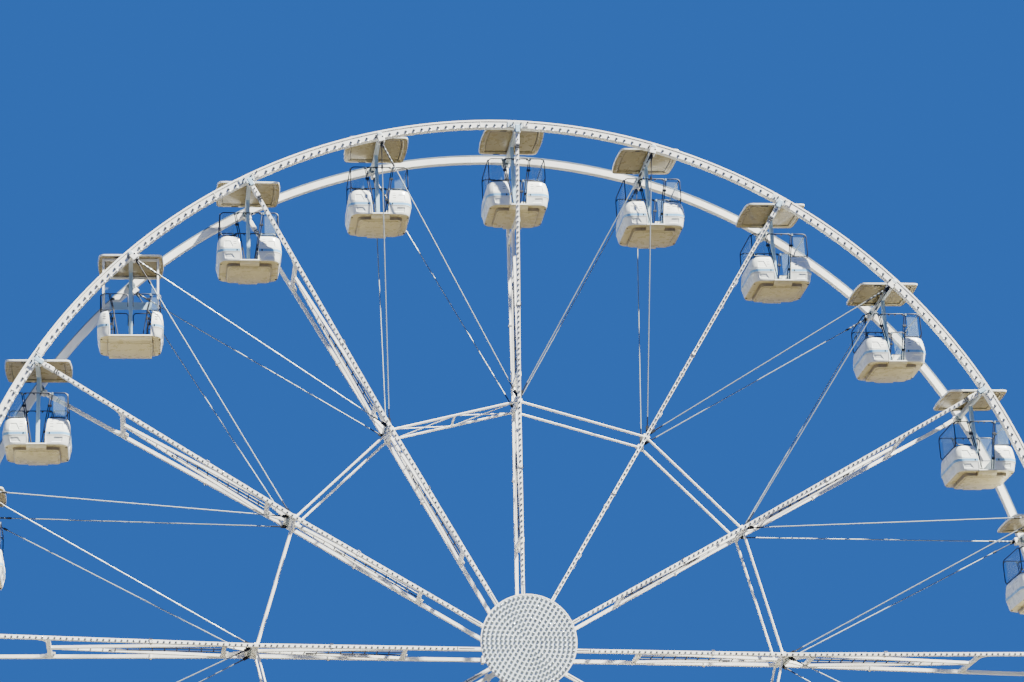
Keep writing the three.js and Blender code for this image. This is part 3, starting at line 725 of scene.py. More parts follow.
class WHEEL_OT_lamps(bpy.types.Operator):
    """Build the lamps on the rims, the spokes and the hub disc"""

    bl_idname = "wheel.lamps"
    bl_label = "Lamps"

    rim_lamp_r, rim_clip_r = 14.817, 14.722
    # Each row of a rim starts so many lamp steps after a spoke, and leaves so many out at its end.
    starts = ((1.765, 2), (1.65, 3))
    spoke_rows = {"spoke_lamps_inner": (1.832, 35), "spoke_lamps_outer": (7.1415, 47)}

    def lamp(self, diameter, point):
        """One lamp: a collar and a dome over it, as a mesh of its own."""
        r = diameter / 2
        profile = [(0.0, 0.0), (r, 0.0), (r, r * 0.3), (r * 0.86, r * 0.42), (r * 0.62, r * 0.95)]
        bm = turned(profile + [(0.0, r * 1.2)], 8, facing_out(point, -1))
        for face in bm.faces:
            rise = point.y - face.calc_center_median().y
            face.material_index = 1 if rise > r * 0.36 else 0
        return bm

    def rim_row(self, sizes, clip):
        """Lamps, or the clips under them, on the front rim: two unlike bays, twelve times over."""
        step = BAY / sizes.lamps_per_bay
        row = bmesh.new()
        for bay, (start, spare) in enumerate(self.starts):
            angle = (bay * sizes.lamps_per_bay + start) * step
            if clip:
                piece = bmesh.new()
                low = self.rim_clip_r, -RIM_FACE - 0.008, -0.038
                high = self.rim_clip_r + 0.045, -RIM_FACE + 0.03, 0.038
                block(piece, low, high, 0.01, turned_wheel(angle))
            else:
                piece = self.lamp(sizes.rim_lamp, on_wheel(self.rim_lamp_r, -RIM_FACE, angle))
            round_wheel(piece, sizes.lamps_per_bay - spare - 1, step)
            absorb(row, piece)
        round_wheel(row, 11, SPOKE_STEP)
        return row

    def spoke_row(self, sizes, low, number):
        """One straight run of lamps on the front of every spoke's front beam, from a radius out."""
        high = low + (number - 1) * sizes.spoke_lamp_pitch
        start, end = (on_wheel(radius, -beam_y(radius) - BEAM_HALF) for radius in (low, high))
        bm = self.lamp(sizes.spoke_lamp, start)
        in_line(bm, number - 1, (end - start) / (number - 1))
        round_wheel(bm, 11, SPOKE_STEP)
        return bm

    def disc_rows(self, sizes):
        """Rings of six more lamps each round the lamp in the middle of the disc."""
        middle = self.lamp(sizes.disc_lamp, on_wheel(0.0, -DISC_FACE_Y))
        for ring in range(1, sizes.disc_rings + 1):
            bm = self.lamp(sizes.disc_lamp, on_wheel(ring * sizes.disc_lamp_pitch, -DISC_FACE_Y))
            round_wheel(bm, 6 * ring - 1, math.tau / (6 * ring))
            absorb(middle, bm)
        return middle

    def execute(self, context):
        sizes = context.scene.wheel_sizes
        glass = ["sprayed_steel_dark", "polycarbonate_lamp"]
        clear = ["sprayed_steel_disc", "polycarbonate_lamp_clear"]
        rows = {"rim_lamps": (self.rim_row(sizes, False), glass)}
        rows["rim_lamp_clips"] = self.rim_row(sizes, True), ["sprayed_steel"]
        for name, (low, number) in self.spoke_rows.items():
            rows[name] = self.spoke_row(sizes, low, number), glass
        rows["disc_lamps"] = self.disc_rows(sizes), clear
        for name, (bm, finishes) in rows.items():
            if finishes is glass:
                front_and_rear(bm)
            finished(name, bm, finishes, "wheel", crease=50)
        return {"FINISHED"}


class WHEEL_OT_hub(bpy.types.Operator):
    """Build the flanges and bolts of the hub, the edge band of the lamp disc and the rear cap's bolts"""

    bl_idname = "wheel.hub"
    bl_label = "Hub"

    flange = ((0.58, 0.0), (0.635, 0.0), (0.635, 0.035), (0.58, 0.035))
    boss = ((0.16, 0.0), (0.3, 0.0), (0.3, 0.05), (0.22, 0.2), (0.16, 0.2))
    band = ((DISC_R - 0.026, 0.006), (DISC_R, 0.006), (DISC_R, -0.07), (DISC_R - 0.026, -0.07))
    bolts_r, cap_bolts_r = 0.5, 0.25
    collars = ((0.905, 0.94), (0.944, 0.98))  # from and to, out along a beam
    # Two corners of each dark strip on a beam's face: a dark band across it, and a black line along it that
    # is painted shade for a groove
    strips = (
        ((1.73, -SPOKE_ROOT_Y - 0.066, -0.034), (1.75, -SPOKE_ROOT_Y - 0.05, 0.034)),
        ((1.30, -SPOKE_ROOT_Y - 0.064, -0.009), (1.70, -SPOKE_ROOT_Y - 0.055, 0.009)),
    )
    black = 1

    def execute(self, context):
        bm = turned(self.flange, 48, facing_out(on_wheel(0.0, 0.035 - DRUM_Y), -1))
        absorb(bm, turned(self.boss, 32, facing_out(on_wheel(0.0, -DRUM_Y), -1)))
        bolts = bmesh.new()
        bolt(bolts, on_wheel(self.bolts_r, -DRUM_Y), -0.035, 0.028, self.black)
        round_wheel(bolts, 23, BAY)
        absorb(bm, bolts)
        roots = bmesh.new()
        y = SPOKE_ROOT_Y
        for low, high in self.collars:
            block(roots, (low, -y - 0.1, -0.095), (high, -y + 0.1, 0.095), 0.006, WHEEL)
        # The black line along each beam is painted shade for a groove.
        for low, high in self.strips:
            block(roots, low, high, place=WHEEL, finish=self.black)
        at_each_spoke(bm, roots)
        front_and_rear(bm)
        absorb(bm, turned(self.band, 72, facing_out(on_wheel(0.0, -DISC_FACE_Y), -1)))
        cap_bolts = bmesh.new()
        bolt(cap_bolts, on_wheel(self.cap_bolts_r, DISC_FACE_Y), 0.02, 0.018, self.black)
        at_each_spoke(bm, cap_bolts)
        finishes = ["sprayed_steel", "powder_coat_black"]
        finished("hub_fittings", bm, finishes, "wheel")
        return {"FINISHED"}


class WHEEL_OT_spoke_fittings(bpy.types.Operator):
    """Build the ladders, short braces, node plates and bolts of the spokes"""

    bl_idname = "wheel.spoke_fittings"
    bl_label = "Spoke fittings"

    clamps_r = (9.6, 5.0)
    dark = 1

    def ladder(self, bm, pitch, high, low, apex, foot):
        """Rungs between two rails; near the meeting of the K's braces they narrow to fit."""
        for i in range(int((high - low) / pitch) + 1):
            radius = high - i * pitch
            half = RUNG_HALF
            if radius > foot:
                share = (apex - radius) / (apex - foot)
                half = min(half, share * (beam_y(foot) - BEAM_HALF) - 0.03)
            if half > 0.05:
                rod(bm, on_wheel(radius, -half), on_wheel(radius, half), 0.017, 6, self.dark)
        begin = apex - (apex - foot) * 0.34
        for y in (-0.14, 0.14):
            rod(bm, on_wheel(low - 0.1, y), on_wheel(begin, y), 0.016, 6, self.dark)

    def execute(self, context):
        pitch = context.scene.wheel_sizes.rung_pitch
        bm = bmesh.new()
        self.ladder(bm, pitch, 11.75, 7.86, LADDER_APEX_R, LADDER_FOOT_R)
        self.ladder(bm, pitch, 6.60, 3.16, RING_R, LOW_LADDER_FOOT_R)
        for side in SIDES:
            bar(bm, on_wheel(7.70, side * 0.50), on_wheel(7.19, side * 0.12), 0.07, 0.08, (0, 1, 0))
            for radius in (LADDER_APEX_R, LADDER_FOOT_R, LOW_LADDER_FOOT_R):
                inside = side * (beam_y(radius) - BEAM_HALF)
                low = radius - 0.13, inside - side * 0.16, -0.07
                block(bm, low, (radius, inside, -0.07 + 0.012), place=WHEEL)
            for radius in self.clamps_r:
                y = side * beam_y(radius)
                low, high = (radius - 0.03, y - 0.085, -0.066), (radius + 0.03, y + 0.085, 0.066)
                block(bm, low, high, 0.008, WHEEL)
                for z in (-0.056, 0.056):
                    ends = (WHEEL @ Vector((radius + x, y + side * 0.085, z)) for x in (-0.045, 0.045))
                    rod(bm, *ends, 0.012, 6, self.dark)
        round_wheel(bm, 11, SPOKE_STEP)
        finishes = ["sprayed_steel", "powder_coat_rail"]
        finished("spoke_fittings", bm, finishes, "wheel")
        return {"FINISHED"}


class WHEEL_OT_stays(bpy.types.Operator):
    """Build the rods that stay the rims, with their dark turnbuckles and forked ends"""

    bl_idname = "wheel.stays"
    bl_label = "Stays"

    dark = 1
    # The turns of the heavy rods of a pair, the first spoke of the run and the number of spokes
    runs = (({1, -1}, 3, 1), ({1}, 4, 5), (set(), 9, 1), ({-1}, 10, 5))

    def stay(self, bm, radius, yard, turn, heavy):
        """One rod from the fork at the spoke to the fork under the rim; a heavy one has a turnbuckle."""
        low = on_wheel(NODE_R, yard * 0.45, 0.0, turn * BEAM_SIDE)
        high = on_wheel(14.64, yard * (RIM_Y + 0.03), turn * BAY)
        along = (high - low).normalized()
        reach = (high - low).length
        at = [low + along * d for d in (0.0, 0.16, 0.42, reach - 0.72, reach - 0.10, reach)]
        across = along.cross(Vector((0, 1, 0))).normalized()
        thick = 1.5 if heavy else 0.9
        bar(bm, at[0], at[1], 0.075, 0.05, across, self.dark)
        rod(bm, at[1], at[2], radius * 1.2, 8, self.dark)
        rod(bm, at[2], at[3], radius, 8)
        rod(bm, at[3], at[4], radius * thick, 8, self.dark)
        rod(bm, at[3] - along * 0.05, at[3] + along * 0.05, radius * 2.1, 8, self.dark)
        rod(bm, at[4] - along * 0.05, at[4] + along * 0.03, radius * 2.1, 8, self.dark)
        for share in (0.16, 0.36, 0.56, 0.76) if heavy else ():
            near = at[3].lerp(at[4], share)
            rod(bm, near, near + along * 0.045, radius * 1.7, 8)
        bar(bm, at[4], at[5], 0.07, 0.05, across, self.dark)
        pin = Vector((0, 0.06, 0))
        for end in (low + along * 0.05, high - along * 0.03):
            rod(bm, end - pin, end + pin, 0.02, 6, self.dark)

    def execute(self, context):
        radius = context.scene.wheel_sizes.stay / 2
        bm = bmesh.new()
        # The turnbuckle of each pair is in the rod that lies nearer to the top and bottom spokes.
        for heavy, first, copies in self.runs:
            part = bmesh.new()
            for yard in SIDES:
                for turn in SIDES:
                    self.stay(part, radius, yard, turn, turn in heavy)
            block(part, (7.031, -0.49, -BEAM_SIDE), (7.13, 0.49, BEAM_SIDE), 0.008, WHEEL)
            swing = turned_wheel(first * SPOKE_STEP) @ WHEEL.inverted()
            bmesh.ops.transform(part, matrix=swing, verts=part.verts[:])
            if copies > 1:
                round_wheel(part, copies - 1, SPOKE_STEP)
            absorb(bm, part)
        rods = [f"tie_rods_{i:02d}" for i in range(1, 13)]
        finishes = ["galvanised_rod", "powder_coat_black"]
        finished("rim_stays", bm, finishes, "wheel", rods)
        return {"FINISHED"}


class WHEEL_OT_ring_bracing(bpy.types.Operator):
    """Build the end plates of the middle ring's struts, and the cross bracing of its one braced bay"""

    bl_idname = "wheel.ring_bracing"
    bl_label = "Middle ring"

    braced_bay = (math.radians(90), math.radians(120))

    def execute(self, context):
        bm = bmesh.new()
        for y in (-RING_Y, RING_Y):
            for z in (-BEAM_SIDE, BEAM_SIDE):
                far = z + math.copysign(0.05, z)
                block(bm, (6.87, y - 0.06, z), (6.98, y + 0.06, far), 0.008, WHEEL)
        round_wheel(bm, 11, SPOKE_STEP)
        braced = bmesh.new()
        start, end = (on_wheel(RING_R, 0.0, angle) for angle in self.braced_bay)
        steps = [start.lerp(end, share) for share in (0.04, 0.5, 0.96)]
        half = Vector((0, RING_Y, 0))
        rod(braced, steps[1] - half, steps[1] + half, 0.03)
        for a, b in zip(steps, steps[1:]):
            rod(braced, a - half, b + half, 0.013)
            rod(braced, a + half * 0.98, b - half * 0.98, 0.013)
        absorb(bm, braced)
        finished("ring_bracing", bm, ["sprayed_steel"], "wheel")
        return {"FINISHED"}


# The outside of a cabin's tub as (half x, half y, height), from its underside up
TUB_SKIN = (
    (0.640, 0.630, TUB_UNDER), (0.782, 0.735, TUB_UNDER), (0.806, 0.757, -2.186), (0.818, 0.767, -2.160),
    (0.838, 0.779, -2.060), (0.862, 0.794, -1.960), (0.868, 0.797, -1.948), (0.860, 0.789, -1.942),
    (0.872, 0.799, -1.936), (0.875, 0.801, -1.920), (0.880, 0.805, -1.850), (0.880, 0.805, -1.838),
    (0.872, 0.798, -1.832), (0.874, 0.800, -1.826), (0.869, 0.790, -1.740), (0.856, 0.772, -1.620),
    (0.838, 0.750, -1.515), (0.822, 0.736, -1.475), (0.795, 0.710, -1.452), (0.772, 0.688, -1.450),
)
SUNK_PANELS = ((-2.12, -1.985, 0.29, 0.70), (-1.79, -1.60, 0.43, 0.70))  # low, high, inner, outer
FLOOR_PAN = (
    (0.528, 0.503, -2.304), (0.540, 0.515, -2.302), (0.544, 0.519, -2.292),
    (0.586, 0.576, -2.290), (0.600, 0.590, -2.278), (0.614, 0.604, TUB_UNDER + 0.01),
)
CANOPY = (
    (0.690, 0.625, 0.124), (0.700, 0.635, 0.124), (0.700, 0.635, 0.112), (0.708, 0.643, 0.112),
    (0.745, 0.680, 0.112), (0.760, 0.695, 0.097), (0.775, 0.710, 0.093), (0.852, 0.787, 0.093),
    (0.872, 0.806, 0.099), (0.880, 0.812, 0.112), (CANOPY_X, CANOPY_Y, 0.148), (0.872, 0.803, 0.155),
    (0.500, 0.485, 0.1557), (0.02, 0.02, 0.1559),
)


def sink(bm, low, high, inner, outer):
    """Sinks one flat panel beside each way in, and two on each end; their inner edge slants."""
    lean = 0.08 / (high - low)
    for height in (low, high):
        cut(bm, (0, 0, height), (0, 0, 1))
    for side in SIDES:
        cut(bm, (side * inner, 0, low), (side, 0, -lean))
        cut(bm, (side * outer, 0, 0), (1, 0, 0))
        for y in (0.06, 0.52):
            cut(bm, (0, side * y, 0), (0, 1, 0))
    chosen = {}
    for face in bm.faces:
        middle = face.calc_center_median()
        if not low < middle.z < high:
            continue
        slant = inner + (middle.z - low) * lean
        if abs(face.normal.y) > 0.9 and slant < abs(middle.x) < outer:
            chosen.setdefault((middle.y > 0, middle.x > 0), []).append(face)
        if abs(face.normal.x) > 0.9 and 0.06 < abs(middle.y) < 0.52:
            chosen.setdefault((middle.x > 0, middle.y > 0, "end"), []).append(face)
    for faces in chosen.values():
        bmesh.ops.inset_region(bm, faces=faces, thickness=0.012, depth=-0.012, use_even_offset=True)


def doorway(door, door_top):
    """The way through the tub: narrow at the sill, flaring out at the rim."""
    flare = door_top - door
    outline = [
        (door, TUB_FLOOR), (door, -1.98), (door + flare * 0.2, -1.86), (door + flare * 0.42, -1.73),
        (door + flare * 0.72, -1.58), (door_top, -1.44), (door_top, -1.2),
    ]
    outline += [(-x, z) for x, z in reversed(outline)]
    return prism([(x, -1.0, z) for x, z in outline], (0, 2.0, 0))


def tub(door, door_top):
    """The tub with its seat bays and doorways cut out."""
    bm = lofted(TUB_SKIN, 0.19, 5)
    for low, high, inner, outer in SUNK_PANELS:
        sink(bm, low, high, max(inner, door_top + 0.08), outer)
    bmesh.ops.dissolve_limit(bm, angle_limit=math.radians(0.5), verts=bm.verts[:], edges=bm.edges[:])
    # The stripe's band takes its blue; the lower wall of the groove under it is painted black as painted
    # shade; the faces under the tub take the underside's painted shade.
    for face in bm.faces:
        height = face.calc_center_median().z
        if -1.921 < height < -1.849 and abs(face.normal.z) < 0.7:
            face.material_index = STRIPE
        elif -1.949 < height < -1.941:
            face.material_index = SHADE_LINE
        elif height < -2.18:
            face.material_index = UNDER_SHADE
    body = linked("tub", as_mesh("tub", bm))
    seats = [(0.705, 0.64, SEAT), (0.715, 0.65, -1.6), (0.71, 0.645, -1.35)]
    well = [(door + 0.11, 0.69, height) for height in (TUB_FLOOR, SEAT + 0.05)]
    spaces = {
        "seat_bay": lofted(seats, 0.06, 3),
        "foot_well": lofted(well, 0.05, 3),
        "doorway": doorway(door, door_top),
    }
    cutters = [linked(name, as_mesh(name, space)) for name, space in spaces.items()]
    for cutter in cutters:
        opening = body.modifiers.new(cutter.name, "BOOLEAN")
        opening.operation = "DIFFERENCE"
        opening.solver = "EXACT"
        opening.object = cutter
    graph = bpy.context.evaluated_depsgraph_get()
    mesh = bpy.data.meshes.new_from_object(body.evaluated_get(graph))
    for spent in [body, *cutters]:
        bpy.data.objects.remove(spent)
    return mesh


def underside(bm, door):
    """The stepped floor pan under the tub, the sill and keel across it, and its bolts."""
    pan = lofted(FLOOR_PAN, 0.10, 3)
    half = door + 0.023
    outline = [
        (0.800, TUB_FLOOR - 0.006), (0.800, TUB_FLOOR - 0.036), (0.710, -2.272), (0.690, -2.278),
        (0.600, -2.280),
    ]
    outline += [(-y, z) for y, z in reversed(outline)]
    keel = prism([(-half, y, z) for y, z in outline], (2 * half, 0, 0))
    place = Matrix.Translation((0, 0, -2.305)) @ Matrix.Diagonal((1.0, 0.75, 1.0, 1.0))
    oval = turned([(0.0, 0.0), (0.15, 0.0), (0.16, 0.008), (0.0, 0.008)], 24, place)
    # The floor pan's risers take the deeper painted shade, the keel's upright faces stay white, and every
    # other face takes the underside's painted shade.
    for part in (pan, keel, oval):
        for face in part.faces:
            riser = part is pan and abs(face.normal.z) < 0.9
            upright = part is keel and abs(face.normal.y) > 0.95
            face.material_index = DEEP_SHADE if riser else GELCOAT if upright else UNDER_SHADE
        absorb(bm, part)
    for x in SIDES:
        for y in SIDES:
            rod(bm, (x * 0.765, y * 0.52, -2.18), (x * 0.765, y * 0.52, -2.206), 0.026, 8, BOLT)
            rod(bm, (x * 0.303, y * 0.463, -2.29), (x * 0.303, y * 0.463, -2.3045), 0.017, 8, BOLT)


def trim(bm, door, door_top):
    """The rubber edging on the rim, the rounded edges of the ways in, the louvres and the latches."""
    flare = door_top - door
    edging = [(door_top + 0.02, 0.682), (0.64, 0.682), (0.725, 0.645), (0.765, 0.56)]
    edge = [
        (door_top + 0.004, 0.705, -1.462), (door_top - flare * 0.28, 0.755, -1.58),
        (door + flare * 0.42, 0.782, -1.73), (door + flare * 0.2, 0.792, -1.86),
        (door, 0.785, -1.98), (door, 0.765, -2.15),
    ]
    for side in SIDES:
        path = [(side * x, -y, -1.449) for x, y in edging]
        path += [(side * x, y, -1.449) for x, y in reversed(edging)]
        bent_rod(bm, path, 0.016, finish=RUBBER)
        for end in SIDES:
            bent_rod(bm, [(side * x, end * y, z) for x, y, z in edge], 0.016)
            # The louvres are black bars: painted shade for the dark inside their slots.
            for height, face_y in ((-1.555, 0.757), (-1.628, 0.774), (-1.70, 0.785)):
                low = side * (door_top + 0.045), end * (face_y - 0.01), height - 0.007
                high = side * (door_top + 0.13), end * (face_y + 0.002), height + 0.007
                block(bm, low, high, 0.003, finish=SHADE_LINE)
            x, y = side * (door_top + 0.03), end * 0.797
            block(bm, (x - 0.02, y - 0.01, -1.915), (x + 0.02, y + 0.008, -1.855), 0.006, finish=BOLT)
    low, high = (-door + 0.02, -0.66, TUB_FLOOR - 0.004), (door - 0.02, 0.66, TUB_FLOOR + 0.006)
    block(bm, low, high, finish=RUBBER)


def canopy():
    """A shallow tray with a thin lip, a crowned top, and a stepped underside in painted shade, with a groove
    painted black as its shadow.
    """
    bm = lofted(CANOPY, 0.07, 3)
    lines = [i * CANOPY_X / 4 for i in range(-3, 4)]
    for x in lines:
        cut(bm, (x, 0, 0), (1, 0, 0))
    for y in lines:
        cut(bm, (0, y, 0), (0, 1, 0))
    for vert in bm.verts:
        x, y = vert.co.x / CANOPY_X, vert.co.y / CANOPY_Y
        vert.co.x *= 1.0 - 0.065 * y * y
        vert.co.y *= 1.0 - 0.015 * x * x
    # The underside and its recessed panel take the deeper painted shade; the step round the panel is painted
    # black as the groove's shadow.
    for face in bm.faces:
        middle = face.calc_center_median()
        x, y = abs(middle.x), abs(middle.y)
        inside = max(x / 0.80, y / 0.735) < 1.0
        if middle.z < 0.098 or inside and middle.z < 0.13:
            face.material_index = DEEP_SHADE
        if middle.z < 0.125:
            straight = x / (1.0 - 0.065 * (y / CANOPY_Y) ** 2)
            if 0.6245 < y < 0.6445 and x < 0.7 or 0.69 < straight < 0.7085 and y < 0.64:
                face.material_index = SHADE_LINE
    return bm


def hanger():
    """The beam between the rims with its end drums, the pole and its foot, and the canopy's brackets."""
    bm = bmesh.new()
    block(bm, (-0.055, -1.035, -0.065), (0.055, 1.035, 0.065), 0.01, finish=GREY)
    block(bm, (-0.05, -0.05, TUB_FLOOR), (0.05, 0.05, 0.115), 0.012, finish=BLUE)
    block(bm, (-0.085, -0.085, TUB_FLOOR), (0.085, 0.085, TUB_FLOOR + 0.02), 0.006, finish=BLUE)
    block(bm, (-0.065, -0.065, TUB_FLOOR), (0.065, 0.065, TUB_FLOOR + 0.12), 0.012, finish=BLUE)
    drum = ((0.0, 0.0), (0.108, 0.0), (0.112, 0.01), (0.112, 0.05), (0.09, 0.06), (0.0, 0.06))
    for side in SIDES:
        block(bm, (-0.045, side * 0.60, 0.05), (0.045, side * 0.70, 0.118), 0.006, finish=RAIL)
        block(bm, (-0.43, side * 0.735, 0.078), (-0.23, side * 0.765, 0.096), 0.004, finish=RAIL)
        absorb(bm, turned(drum, 20, facing_out(Vector((0, side * 0.978, 0)), side), DARK))
        rod(bm, (0, side * 1.03, 0), (0, side * 1.205, 0), 0.05, 12)
        for x, z in ((0.085, 0.0), (-0.085, 0.0), (0.0, 0.095), (0.0, -0.095)):
            rod(bm, (x, side * 0.965, z), (x, side * 0.98, z), 0.014, 6, RAIL)
    return bm


def rails(wide):
    """The bent rails round the seats, the slanting rods at the ways in, and their clamps."""
    bm = bmesh.new()
    radius = bpy.context.scene.wheel_sizes.rail / 2
    top = RAIL_TOP - 0.21 if wide else RAIL_TOP
    low = TUB_RIM + 0.03
    inner, foot = (0.53, 0.44) if wide else (0.39, 0.16)
    # Half of each path; the first three as (x, height), the last as (y, height)
    hoop = [
        (RAIL_X, low + 0.08), (RAIL_X, top - 0.09), (RAIL_X - 0.03, top - 0.03), (RAIL_X - 0.09, top),
        (inner + 0.035, top), (inner + 0.005, top - 0.03), (inner - 0.10, -1.43),
        (foot + 0.03, TUB_FLOOR + 0.01),
    ]
    lower = [(RAIL_X, low + 0.08), (RAIL_X - 0.05, low), (inner - 0.05, low)]
    gate = [
        (0.07, -1.32), (0.07, top - 0.06), (0.12, top), (0.52, top), (0.57, top - 0.06), (0.45, -1.43),
        (0.33, TUB_FLOOR + 0.01),
    ] if wide else [
        (0.0, top), (inner - 0.075, top), (inner - 0.04, top - 0.04), (inner - 0.15, -1.43),
        (foot - 0.03, TUB_FLOOR + 0.01),
    ]
    end = [
        (RAIL_Y - 0.13, low), (RAIL_Y - 0.05, low + 0.03), (RAIL_Y, low + 0.11), (RAIL_Y, top - 0.11),
        (RAIL_Y - 0.04, top - 0.03), (RAIL_Y - 0.11, top),
    ]
    for side in SIDES:
        for y in (-RAIL_Y, RAIL_Y):
            for path, thick in ((hoop, 1.0), (lower, 0.85), (gate, 1.0)):
                bent_rod(bm, [(side * x, y, z) for x, z in path], radius * thick, finish=RAIL)
            x = side * inner
            near, far = (x - 0.026, y - 0.024, top - 0.06), (x + 0.026, y + 0.024, top + 0.012)
            block(bm, near, far, 0.006, finish=DARK)
            for height, at in ((-1.08, inner - 0.06), (-1.80, foot + 0.075)):
                x = side * at
                near, far = (x - 0.055, y - 0.022, height - 0.05), (x + 0.055, y + 0.022, height + 0.012)
                block(bm, near, far, 0.006, finish=RAIL)
            # Small corner plates under the top rail
            for at, way in () if wide else ((0.065, 0.07), (inner - 0.07, -0.07)):
                corners = (at, RAIL_TOP), (at + way, RAIL_TOP), (at, RAIL_TOP - 0.07)
                plate = prism([(side * x, y - 0.004, z) for x, z in corners], (0, 0.008, 0))
                paint(plate.verts, RAIL)
                absorb(bm, plate)
        x = side * RAIL_X
        path = [(x, -y, z) for y, z in end] + [(x, y, z) for y, z in reversed(end)]
        bent_rod(bm, path, radius, finish=RAIL)
        bent_rod(bm, [path[0], path[-1]], radius, finish=RAIL)
        for y in (-0.34, 0.34):
            block(bm, (x - 0.02, y - 0.02, TUB_RIM - 0.02), (x + 0.02, y + 0.02, low), 0.005, finish=RAIL)
    return bm


def screens(wide):
    """Clear sheets inside the rails, and the upper side sheets of the wide-door cabin."""
    bm = bmesh.new()
    low, high = TUB_RIM - 0.02, RAIL_TOP - 0.02
    for side in SIDES:
        x = side * SCREEN_X
        block(bm, (x - 0.003, -0.58, low), (x + 0.003, 0.58, high))
        for y in (0.022 - RAIL_Y, RAIL_Y - 0.022):
            inner = side * (0.55 if wide else 0.42)
            block(bm, (inner, y - 0.003, low), (side * 0.72, y + 0.003, high))
    for x in (-SCREEN_X, SCREEN_X) if wide else ():
        block(bm, (x - 0.003, -0.58, -0.70), (x + 0.003, 0.58, 0.03))
    return bm


def wide_extras(bm):
    """The posts, lintels and back rail of the wide-door cabin."""
    for x in (-POST_X, POST_X):
        for y in (-POST_Y, POST_Y):
            block(bm, (x - 0.026, y - 0.026, -1.48), (x + 0.026, y + 0.026, 0.115), 0.005)
        block(bm, (x - 0.02, -0.6, -0.86), (x + 0.02, 0.6, -0.82), 0.004)
        block(bm, (x - 0.028, -0.64, 0.03), (x + 0.028, 0.64, 0.092), 0.004)
    for y in (-POST_Y, POST_Y):
        block(bm, (-0.72, y - 0.024, 0.03), (0.72, y + 0.024, 0.092), 0.004)
    block(bm, (-0.57, 0.655, -0.86), (0.57, 0.675, -0.64), 0.005, finish=BLUE)


class WHEEL_OT_cabins(bpy.types.Operator):
    """Build the cabins: tub, canopy, hanger, rails and clear screens, each hung from its own pivot"""

    bl_idname = "wheel.cabins"
    bl_label = "Cabins"

    def execute(self, context):
        kinds = {}
        for wide in (False, True):
            door, door_top = (0.55, 0.60) if wide else (0.235, 0.305)
            shell = bmesh.new()
            shell.from_mesh(tub(door, door_top))
            underside(shell, door)
            trim(shell, door, door_top)
            absorb(shell, canopy())
            steel = hanger()
            absorb(steel, rails(wide))
            if wide:
                wide_extras(steel)
            kinds[wide] = {
                "shell": (as_mesh("cabin_part", shell), SHELL_FINISHES),
                "steelwork": (as_mesh("cabin_part", steel), STEEL_FINISHES),
                "screens": (as_mesh("cabin_part", screens(wide)), ["acrylic_sheet"]),
            }
        for name, pivot in PIVOTS.items():
            for part, (made, finishes) in kinds[name == WIDE_CABIN].items():
                mesh = made.copy()
                mesh.transform(Matrix.Translation(pivot))
                mesh.update()
                stands_for = [name] if part == "shell" else ()
                placed(f"{name}_{part}", mesh, finishes, name, stands_for)
        return {"FINISHED"}


class WHEEL_OT_supports(bpy.types.Operator):
    """Build the joints, foot bolts and bearing caps of the A-frames"""

    bl_idname = "wheel.supports"
    bl_label = "Supports"

    collar = ((0.162, 0.0), (0.34, 0.0), (0.34, 0.03), (0.26, 0.07), (0.162, 0.07))

    def execute(self, context):
        bm = bmesh.new()
        top = Vector((0, -HEAD_Y, AXLE.z))
        for side in SIDES:
            foot = Vector((side * FOOT_X, -FOOT_Y, 0.35))
            along = (foot - top).normalized()
            for share in (0.27, 0.52, 0.77):
                middle = top.lerp(foot, share)
                for shift in (-0.03, 0.03):
                    at = middle + along * shift
                    bar(bm, at - along * 0.02, at + along * 0.02, 0.68, 0.36, (1, 0, 0))
                for k in range(-2, 3):
                    at = middle + Vector((k * 0.14, -0.17, 0))
                    rod(bm, at - along * 0.075, at + along * 0.075, 0.018, 6, finish=1)
            for x in (-0.36, -0.2, 0.2, 0.36):
                for y in (-0.1, 0.1):
                    at = Vector((foot.x + x, foot.y + y, 0.41))
                    rod(bm, at, at + Vector((0, 0, 0.05)), 0.028, 6, finish=1)
            for x in (-0.28, 0.28):
                at = Vector((foot.x + x, foot.y, 0.41))
                bar(bm, at, at + Vector((0, 0, 0.3)), 0.02, 0.24, (1, 0, 0))
        absorb(bm, turned(self.collar, 32, facing_out(Vector((0, -1.14, AXLE.z)), -1)))
        front_and_rear(bm)
        finishes = ["sprayed_steel_frame", "powder_coat_black"]
        finished("frame_fittings", bm, finishes, "support")
        return {"FINISHED"}


